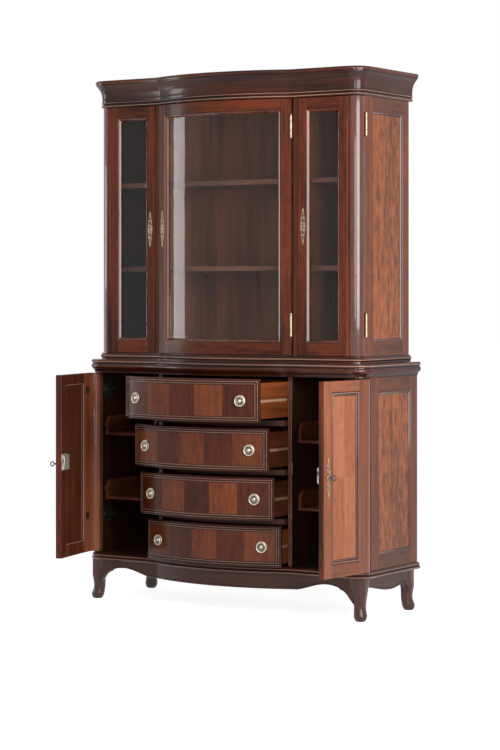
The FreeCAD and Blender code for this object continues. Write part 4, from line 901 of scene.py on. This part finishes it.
# ---- lower doors, at their angles
# In these profiles the third values are painted shade in the hollows, and painted highlights on the crested beads.
DOOR_MOULD = ([(0, 0, 0), (0.8, 1.4, 0.55), (1.8, 1.4, 0.3)]
              + crested(arc((2.2, 0.4), (8, 0.6), -0.34, 6), 2.2)
              + [(8.8, 3, 0.5), (9.8, 3.4, 0.3)]
              + crested(arc((10.4, 3), (15, 5.8), -0.14, 6), 0.6)
              + [(15.6, 6.4, 0.6), (17.5, 6.4, 0)])
BACK_LINE = [(0, 25, 0), (1.8, 24.6, 0), (2.6, 23.6, 0)]
BACK_MOULD = [(2.6, 23.6, 0.5), (3.6, 23.2, 0.1), (7.5, 19, 0.1), (8, 18, 0.6), (10, 18, 0)]
DOOR_GAP = 0.002
LOWER_STILE = 0.05
LOWER_BOTTOM = 0.05
LOWER_TOP = 0.042


def hung(side_name):
    """The turn from closed to rest, about the door's hinge."""
    joint = joints["lower_%s_door_hinge" % side_name]
    pivot = Vector(joint["pos_m"])
    angle = -math.radians(joint["range_deg"][0])
    turn = Matrix.Rotation(angle, 4, Vector(joint["axis"]))
    return Matrix.Translation(pivot) @ turn @ Matrix.Translation(-pivot)


def matched_field(shape, u, w, last_step, place, side):
    """A panel of four matched leaves of veneer, light and dark across the corners."""
    inset, depth, _ = last_step
    start = len(shape.faces)
    across, low, high = inside(u, w, inset, 2)
    upward = spread(low, high, 2)
    for column in range(2):
        for row in range(2):
            kind = LIT_DOOR_FIELD if (row == column) == (side < 0) else LIT_DOOR_DARK_FIELD
            shape.skin([[place(x, depth / 1000, z) for x in across[column:column + 2]]
                        for z in upward[row:row + 2]], kind)
    shape.look(start, outward(place, u, w, -1))


for side_name, side in SIDES:
    node_name = "lower_%s_door" % side_name
    low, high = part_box(node_name)
    edge = MIDDLE + DOOR_GAP
    flat_end = LOWER_HALF - LOWER_CORNER - LOWER_STILE
    shape = Shape(node_name + "_frame")
    place = door_place(side, LOWER_FACE)
    # the outer faces take the lit copies of the mahogany, a painted sheen
    plank(shape, (edge, edge + LOWER_STILE), (0, LOWER_DOOR_THICKNESS), (low.z, high.z), place, UPRIGHT,
          inner=BEHIND, outer=LIT_DOOR_FRONT)
    plan = corner_stile(side, flat_end, LOWER_HALF, LOWER_FACE, LOWER_CORNER, LOWER_DOOR_THICKNESS)
    prism(shape, plan, low.z, high.z, LIT_DOOR_FRONT)
    opening = (edge + LOWER_STILE, flat_end)
    inner_w = (low.z + LOWER_BOTTOM, high.z - LOWER_TOP)
    for rail in ((low.z, inner_w[0]), (inner_w[1], high.z)):
        plank(shape, opening, (0, LOWER_DOOR_THICKNESS), rail, place, ACROSS, inner=BEHIND, outer=LIT_DOOR_RAIL)
    frame_loop(shape, opening, inner_w, DOOR_MOULD, place, UPRIGHT, cuts=2)
    matched_field(shape, opening, inner_w, DOOR_MOULD[-1], place, side)
    frame_loop(shape, opening, inner_w, BACK_LINE, place, STRING)
    frame_loop(shape, opening, inner_w, BACK_MOULD, place, BEHIND, fill=BEHIND)
    shape.build([node_name], node_name, matrix=hung(side_name))

# ---- drawer fronts
# In these profiles the third values are painted shade in the hollows, and painted highlights on the outer arris
# and the crested bead.
FRONT_MOULD = ([(0, 3, 0.2), (0.6, 1.2, -0.2), (2.2, 0, -0.2), (5.5, 0, 0.1), (6, 1.2, 0.7), (6.6, 1.2, 0.7)]
               + crested(arc((7, 0.2), (12, 0.2), -0.34, 6), 1.6)
               + [(12.4, 1.4, 0.7), (13, 1.4, 0.7), (13.6, 0.8, 0), (17.8, 0.8, 0)])
STRING_MOULD = [(17.8, 0.6, 0), (19.2, 0.6, 0)]
BORDER_MOULD = [(19.2, 0.8, 0.5), (20, 0.8, 0.2), (23.2, 0.8, 0.2), (23.6, 1.2, 0.6)]
EDGE_AND_BACK = [(0, 3, 0), (0, 21, 0), (1, 22, 0)]
FRONT_CUTS = 40
BANDS = 5
BAND_CUTS = 8
BAND_DEPTH = 0.0011
GROOVE_DEPTH = 0.008
GROOVE_HALF = 0.0061
GROOVE_START = 0.06
STRIP_HALF = 0.0001
STRIP_EASE = 0.00005
for number, name in enumerate(("one", "two", "three", "four")):
    node_name = "drawer_%s_front" % name
    body = "drawer_" + name
    low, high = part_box(node_name)
    place = bow_place(low.y + BOW_RISE)
    u, w = (low.x, high.x), (low.z, high.z)
    shape = Shape(node_name + "_veneered")
    for profile, kind in ((FRONT_MOULD, MOULD), (STRING_MOULD, STRING), (BORDER_MOULD, MOULD)):
        frame_loop(shape, u, w, profile, place, kind, FRONT_CUTS)
    stops, foot, head = inside(u, w, BORDER_MOULD[-1][0], BANDS)
    for band in range(BANDS):
        kind = BAND_DARK if (band + number) % 2 == 0 else BAND_LIGHT
        across = spread(stops[band], stops[band + 1], BAND_CUTS)
        rows = [[place(x, BAND_DEPTH, z) for x in across] for z in (foot, head)]
        shape.skin(rows, kind, glaze=[tone()] * 2)
    frame_loop(shape, u, w, EDGE_AND_BACK, place, ACROSS, FRONT_CUTS, ACROSS)
    shape.build([node_name], body, "veneered_front")
    box_low, box_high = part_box("drawer_%s_box" % name)
    middle = (box_low.z + box_high.z) / 2
    strip = Shape(body + "_groove_strips")
    for side in (-1, 1):
        strip_x = sorted(side * (box_high.x - GROOVE_DEPTH + off) for off in (-STRIP_HALF, STRIP_HALF))
        # the strip is lightened by a tone value of -0.5, painted light against the shade in the groove
        plank(strip, strip_x, (box_low.y + GROOVE_START, box_high.y - 0.001),
              (middle - GROOVE_HALF, middle + GROOVE_HALF), front_place(0.0), STRING, STRIP_EASE, glaze=-0.5)
    strip.build(body=body, slot="runner_wood")

# ---- brass: profiles, wires and the places made for them are in mm
METALS = [BRASS, STEEL, NICKEL, PULL_BRASS, KEY_STEEL]
BRIGHT, HOLE_SHADE, SILVER, PULL, DULL = range(len(METALS))
KEYHOLE_INSET = 0.025


def ring_path(centre, half, steps=20):
    """Points (a, b) of an ellipse."""
    turns = [2 * math.pi * i / steps for i in range(steps)]
    return [(centre[0] + half[0] * math.cos(turn), centre[1] + half[1] * math.sin(turn)) for turn in turns]


def escutcheon(shape, place):
    """A pierced keyhole plate of wire ovals, scrolls and knots, alike up and down."""
    def wire(path, radius, closed, up, out=1.1):
        tube(shape, [place(a, b * up, out) for a, b in path], radius, BRIGHT, 6, closed)
    wire(ring_path((0, 0), (7.0, 12.0)), 1.7, True, 1, 1.5)
    for up in (-1, 1):
        for centre, half in ((24.0, (6.6, 8.0)), (43.5, (5.4, 7.2)), (58.5, (3.6, 4.6))):
            wire(ring_path((0, centre), half), 1.4, True, up)
        for a in (-1, 1):
            wire(ring_path((a * 8.2, 13.0), (2.9, 3.4), 12), 1.2, True, up)
            wire(ring_path((a * 6.6, 33.5), (2.4, 2.8), 12), 1.1, True, up)
            wire([(a * 9.5, 5.0), (a * 11.2, 1.8), (a * 10.4, 0.0)], [0.8, 1.5, 1.7], False, up)
        for centre, size in ((14.2, 2.6), (33.8, 2.4), (52.4, 2.1)):
            turned = ((size, 0, 0.3), (size, 0.8, 0.1), (size * 0.75, 2.2, 0), (size * 0.3, 2.8, 0))
            lathe(shape, turned, lambda x, y, h, b=centre * up: place(x, b + y, h), BRIGHT, 12)
        wire([(0, 62.5), (0, 66.0), (0, 70.0), (0, 73.6)], [1.6, 2.7, 1.9, 0.4], False, up)
    bush = ((4.6, 0, 0.2), (4.6, 1.2, 0), (3.8, 2, 0), (2.6, 1.9, 0.3))
    lathe(shape, bush, lambda x, y, h: place(x, y * 1.3, h), BRIGHT, 18)
    # the keyhole is a dark sheet on the plate: painted shade standing for the hole
    hole = [(-0.8, -4.2), (0.8, -4.2), (0.7, -0.6), (1.5, 0.4), (1.5, 1.8), (0.6, 2.8), (-0.6, 2.8),
            (-1.5, 1.8), (-1.5, 0.4), (-0.7, -0.6)]
    shape.add([place(a, b, 2.05) for a, b in hole], [tuple(range(len(hole)))], HOLE_SHADE, 0.8)


def about(place, u, w):
    """From a face's (across, into, up) in metres to (across, up, out) in mm about a point on it."""
    return lambda a, b, h: place(u + a / 1000, -h / 1000, w + b / 1000)


def standing(x, y, z, way=1):
    """A turned form's place about an upright axis through a point; way -1 hangs it upside down."""
    return lambda a, b, h: (x + a / 1000, y + b / 1000, z + h / 1000 * way)


def backward(x, y, z):
    """From (across, up, back) about a point."""
    return lambda a, b, h: (x + a / 1000, y + h / 1000, z + b / 1000)


def hinge_half(shape, x, y, low, leaf_x, leaf_y):
    """The two outer knuckles of a loose-pin hinge with their turned finials and leaves."""
    third = (HINGE_LENGTH - KNUCKLE_PLAY) / 3
    end = third * 1000
    knuckle = ((4, 0, 0.3), (5, 0.8, 0), (5, 5.6, 0), (4.5, 6.2, 0.6), (5, 6.8, 0), (5, end - 6.8, 0),
               (4.5, end - 6.2, 0.6), (5, end - 5.6, 0), (5, end - 0.8, 0), (4, end, 0.3))
    finial = ((3, -1, 0.2), (2.6, 0.3, 0.5), (3.8, 1, 0), (3.6, 2, 0), (2.2, 3, 0), (0.6, 3.9, 0))
    for start, tip, way in ((low, low, -1), (low + HINGE_LENGTH - third, low + HINGE_LENGTH, 1)):
        lathe(shape, knuckle, standing(x, y, start), BRIGHT, 20)
        lathe(shape, finial, standing(x, y, tip, way), BRIGHT, 16)
        plank(shape, leaf_x, leaf_y, (start, start + third), front_place(0.0), BRIGHT, FINE_EASE, glaze=0.1)


HINGE_LENGTH = 0.09
KNUCKLE_PLAY = 0.0006
FINIAL_LENGTH = 0.004
LEAF = 0.0013
UPPER_KEYHOLE_UP = 0.508
LEAF_REACH = 0.018
for side_name, side in SIDES + (("centre", 0),):
    door = "upper_%s_door" % side_name
    door_low, door_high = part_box(door)
    low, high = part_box(door + "_brass")
    pivot = joints[door + "_hinge"]["pos_m"]
    shape = Shape(door + "_escutcheon_and_hinges")
    up = door_low.z + UPPER_KEYHOLE_UP
    if side:
        edge = door_low.x if side > 0 else door_high.x
        escutcheon(shape, about(front_place(UPPER_FACE), edge + side * KEYHOLE_INSET, up))
        leaf_x = sorted((side * (UPPER_HALF - LEAF_REACH), pivot[0]))
        leaf_y = (door_high.y, door_high.y + LEAF)
    else:
        escutcheon(shape, about(centre_place, door_low.x + KEYHOLE_INSET, up))
        leaf_x = (door_high.x, door_high.x + LEAF)
        leaf_y = (pivot[1], high.y)
    for start in (low.z + FINIAL_LENGTH, high.z - FINIAL_LENGTH - HINGE_LENGTH):
        hinge_half(shape, pivot[0], pivot[1], start, leaf_x, leaf_y)
    shape.build([door + "_brass"], door, "antique_brass", METALS)


def screw(shape, place, a, b):
    """A slotted screw head."""
    head = ((3.2, 0, 0.2), (3.2, 0.4, 0), (2.4, 0.9, 0), (0.4, 1, 0))
    lathe(shape, head, lambda x, y, h: place(a + x, b + y, h), SILVER, 14)
    # the slot is a dark sheet on the head: painted shade standing for its recess
    slot = [place(a + x, b + y, 1.2) for x, y in ((-2.4, -0.5), (2.4, -0.5), (2.4, 0.5), (-2.4, 0.5))]
    shape.add(slot, [(0, 1, 2, 3)], HOLE_SHADE, 0.7)


# the lock's plate, its case on that plate, and its bolt; reaches are measured from the drawer opening
LOWER_KEYHOLE_UP = 0.381
LOWER_KEYHOLE_INSET = 0.028
LOCK_HALF = 0.034
LOCK_RAISED = 0.008
LOCK_DEPTH = 0.0115
LOCK_REACH = (0.0035, 0.059)
PLATE = 0.0016
PLATE_EASE = 0.0005
CASE_INSET = (0.003, 0.004)
CASE_EASE = 0.0012
BOLT_REACH = (0.0048, 0.0068)
BOLT_DEPTH = (0.0045, 0.0088)
BOLT_UP = (0.008, 0.024)
KEY_STEM = ((1.2, -0.8, 0), (2.6, 0, 0), (2.1, 2, 0.3), (2.1, 3.6, 0), (3.8, 4.4, 0), (4.1, 5.6, 0),
            (3.8, 6.8, 0), (2.4, 7.6, 0.3), (3.1, 8.8, 0), (2.4, 10, 0.3), (2.3, 56, 0), (1.2, 57, 0))
KEY_REACH = 0.02
KEY_BOW = (7.8, 9.0)
KEY_WIRE = 2.4
KEY_BIT_HALF = 0.0011
KEY_BIT_DEPTH = (0.0042, 0.0095)
KEY_BIT_DOWN = (0.01, 0.0018)
for side_name, side in SIDES:
    door = "lower_%s_door" % side_name
    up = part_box(door)[0].z + LOWER_KEYHOLE_UP
    across = side * (MIDDLE + DOOR_GAP + LOWER_KEYHOLE_INSET)
    shape = Shape(door + "_lock_and_escutcheon")
    escutcheon(shape, about(front_place(LOWER_FACE), across, up))
    back = LOWER_FACE + LOWER_DOOR_THICKNESS
    lock_x = sorted(side * (MIDDLE + reach) for reach in LOCK_REACH)
    lock_z = (up + LOCK_RAISED - LOCK_HALF, up + LOCK_RAISED + LOCK_HALF)
    flat = front_place(0.0)
    plank(shape, lock_x, (back, back + PLATE), lock_z, flat, SILVER, PLATE_EASE, glaze=0.05)
    plank(shape, (lock_x[0] + CASE_INSET[0], lock_x[1] - CASE_INSET[0]), (back + PLATE, back + LOCK_DEPTH),
          (lock_z[0] + CASE_INSET[1], lock_z[1] - CASE_INSET[1]), flat, SILVER, CASE_EASE, glaze=0.0)
    bolt_x = sorted(side * (MIDDLE + reach) for reach in BOLT_REACH)
    plank(shape, bolt_x, (back + BOLT_DEPTH[0], back + BOLT_DEPTH[1]), (up + BOLT_UP[0], up + BOLT_UP[1]),
          flat, DULL, FINE_EASE, glaze=0.3)
    for a, b in ((-17, -18), (24, -18), (-17, 34), (24, 34)):
        screw(shape, backward(across, back + LOCK_DEPTH, up), a, b)
    shape.build([door + "_brass"], door, "antique_brass", METALS, hung(side_name))

    node_name = "lower_%s_key" % side_name
    key = Shape(node_name + "_turned")
    place = backward(across, LOWER_FACE - KEY_REACH, up)
    lathe(key, KEY_STEM, place, DULL, 18)
    bow = [place(0.0, b, h) for h, b in ring_path((-KEY_BOW[0], 0), KEY_BOW, 28)]
    tube(key, bow, KEY_WIRE, DULL, 10, True)
    bit_y = (back + KEY_BIT_DEPTH[0], back + KEY_BIT_DEPTH[1])
    bit_z = (up - KEY_BIT_DOWN[0], up - KEY_BIT_DOWN[1])
    plank(key, (across - KEY_BIT_HALF, across + KEY_BIT_HALF), bit_y, bit_z, flat, DULL, FINE_EASE, glaze=0.1)
    key.build([node_name], node_name, "antique_brass", METALS, hung(side_name))

# ---- drawer pulls
ROSETTE = ((21.6, 0, 0.3), (21.8, 1, 0), (21.2, 2, 0), (19.8, 2.5, 0), (18.4, 1.8, 0.4), (17.8, 0.9, 0.8),
           (15, 0.8, 0.85), (13.5, 0.9, 0.8), (12.8, 2.2, 0.6), (11.2, 3, 0.5), (9.8, 2.4, 0.7),
           (9.2, 1.4, 0.85), (7.6, 1.4, 0.8), (7.1, 3.4, 0.1), (6.8, 5.2, 0), (5.6, 6.6, 0), (3.6, 7.6, 0),
           (0.8, 8, 0))
BEAD = ((1.4, 0.6, 0.8), (1.3, 1.6, 0.55), (0.7, 2.2, 0.4), (0.1, 2.4, 0.4))
BEADS = 24
BEAD_CIRCLE = (15.7, 15.7)
POST = ((2.4, 1.5, 0.4), (2, 2.6, 0.1), (1.4, 3.6, 0))
PULL_OFFSET = 0.246
RING_RADIUS = 18.5
RING_STAND = 7.5
RING_EYE_UP = 17.0
RING_STEPS = 48
RING_WIRE = 2.0
RING_TAPER = 0.4
EYE = (3.8, 3.8)
EYE_WIRE = 1.1


def pull_place(face, across, up):
    """From (across, up, out) about the point of a bowed front that lies across its middle at that height."""
    lean = math.asin(across / BOW_RADIUS)
    seat = Vector(face(across, 0.0, up))
    out = Vector((math.sin(lean), -math.cos(lean), 0.0))
    right = Vector((math.cos(lean), math.sin(lean), 0.0))
    return lambda a, b, h: tuple(seat + right * (a / 1000) + out * (h / 1000) + Vector((0.0, 0.0, b / 1000)))


for number in ("one", "two", "three", "four"):
    body = "drawer_" + number
    low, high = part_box(body + "_front")
    plates = Shape(body + "_rosettes")
    for side_name, side in SIDES:
        place = pull_place(bow_place(low.y + BOW_RISE), side * PULL_OFFSET, (low.z + high.z) / 2)
        lathe(plates, ROSETTE, place, PULL, 40)
        for x, y in ring_path((0, 0), BEAD_CIRCLE, BEADS):
            lathe(plates, BEAD, lambda a, b, h: place(a + x, b + y, h), PULL, 8)
        eye = [place(0.0, RING_EYE_UP + b, RING_STAND + h) for b, h in ring_path((0, 0), EYE, 16)]
        tube(plates, eye, EYE_WIRE, PULL, 8, True)
        lathe(plates, POST, lambda a, b, h: place(a, b + RING_EYE_UP, h), PULL, 12)

        node_name = "%s_ring_%s" % (body, side_name)
        ring = Shape(node_name + "_wire")
        turns = [2 * math.pi * i / RING_STEPS for i in range(RING_STEPS)]
        path = [place(RING_RADIUS * math.sin(turn), RING_EYE_UP - RING_RADIUS + RING_RADIUS * math.cos(turn),
                      RING_STAND) for turn in turns]
        tube(ring, path, [RING_WIRE - RING_TAPER * math.cos(turn) for turn in turns], PULL, 12, True)
        ring.build([node_name], node_name, "ring_pull_brass", METALS)
    plates.build([body + "_pull_plates"], body, "ring_pull_brass", METALS)

# ---- finishes of the CAD nodes that stay
FINISHES = {
    "mahogany": WOODS[UPRIGHT],
    "veneered_front": WOODS[BAND_LIGHT],
    "drawer_wood": DRAWER_WOOD,
    "interior_wood": WOODS[BACKING],
    "runner_wood": RUNNER_WOOD,
    "cabinet_glass": GLASS,
    "antique_brass": BRASS,
    "ring_pull_brass": PULL_BRASS,
    "black_hinge_steel": STEEL,
}
OWN_FINISHES = {
    "shelves": SHELF,
    "drawer_rails": SHELF,
    # drawers two and three take the darker copy of the drawer wood, a painted shade
    "drawer_two_box": SHADED_DRAWER_WOOD,
    "drawer_three_box": SHADED_DRAWER_WOOD,
    "upper_partitions": WOODS[BACKING],
}
slots = {part["node"]: part["material_slot"] for part in frame["record"]["subparts"]}
for node_name, node in frame["nodes"].items():
    material = OWN_FINISHES.get(node_name, FINISHES[slots[node_name]])
    if node_name.startswith("tray_"):
        material = TRAY_WOOD
    node.data.materials.clear()
    node.data.materials.append(material)

# ---- floor, light and camera
WORLD_LIGHT = 0.22
FLOOR_GLOW = 0.86


def seen_level(tree, unseen, seen):
    """One strength for rays that show the background, and another for those that light the object."""
    rays = tree.nodes.new("ShaderNodeLightPath")
    shown = maths(tree, "ADD", rays.outputs["Is Camera Ray"], rays.outputs["Is Glossy Ray"])
    shown = maths(tree, "ADD", shown, rays.outputs["Is Transmission Ray"])
    level = tree.nodes.new("ShaderNodeMapRange")
    settle(level, {"To Min": unseen, "To Max": seen})
    link(tree, shown, level.inputs["Value"])
    return level.outputs["Result"]


floor_mesh = bpy.data.meshes.new("studio_floor")
floor_mesh.from_pydata([(-30, -30, 0), (30, -30, 0), (30, 30, 0), (-30, 30, 0)], [], [(0, 1, 2, 3)])
floor = new_object("studio_floor", floor_mesh)
floor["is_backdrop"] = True
material, tree, shader = new_material("white_floor")
settle(shader, {"Base Color": (0.55, 0.55, 0.55, 1.0), "Roughness": 0.8, "Specular IOR Level": 0.1,
                "Emission Color": (1.0, 1.0, 1.0, 1.0)})
link(tree, seen_level(tree, 0.0, FLOOR_GLOW), shader.inputs["Emission Strength"])
floor_mesh.materials.append(material)

world = bpy.data.worlds.new("studio")
bpy.context.scene.world = world
world.use_nodes = True
background = world.node_tree.nodes["Background"]
background.inputs["Color"].default_value = (1.0, 1.0, 1.0, 1.0)
link(world.node_tree, seen_level(world.node_tree, WORLD_LIGHT, 1.0), background.inputs["Strength"])


def softbox(name, place, target, size, power):
    data = bpy.data.lights.new(name, "AREA")
    data.shape = "RECTANGLE"
    data.size, data.size_y = size
    data.energy = power
    lamp = new_object(name, data)
    lamp.location = place
    lamp.rotation_euler = (Vector(target) - Vector(place)).to_track_quat("-Z", "Y").to_euler()


softbox("right_softbox", (3.15, -1.75, 1.7), (0.3, 0.0, 1.05), (1.9, 2.6), 122)
softbox("right_strip", (2.06, -3.66, 1.6), (0.3, 0.0, 1.05), (0.42, 2.4), 34)
softbox("left_strip", (-3.88, -1.8, 1.66), (-0.3, 0.0, 1.66), (0.8, 1.36), 23)
softbox("left_low_strip", (-3.9, -0.95, 0.7), (0.0, 0.0, 0.7), (0.4, 1.1), 4)
softbox("high_softbox", (1.2, -5.2, 4.6), (0.0, 0.0, 1.1), (1.8, 1.2), 20)

camera_data = bpy.data.cameras.new("photo_camera")
camera_data.lens = 108.67
camera_data.sensor_width = 36.0
camera_data.shift_x = 0.0005
camera_data.shift_y = -0.1109
camera_data.clip_start = 0.1
camera_data.clip_end = 100.0
camera = new_object("photo_camera", camera_data)
camera.location = (4.9983, -7.6546, 1.2749)
camera.rotation_euler = (math.radians(90.0), 0.0, math.radians(32.69))
bpy.context.scene.camera = camera
bpy.context.scene.view_settings.view_transform = "Standard"

low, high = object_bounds()
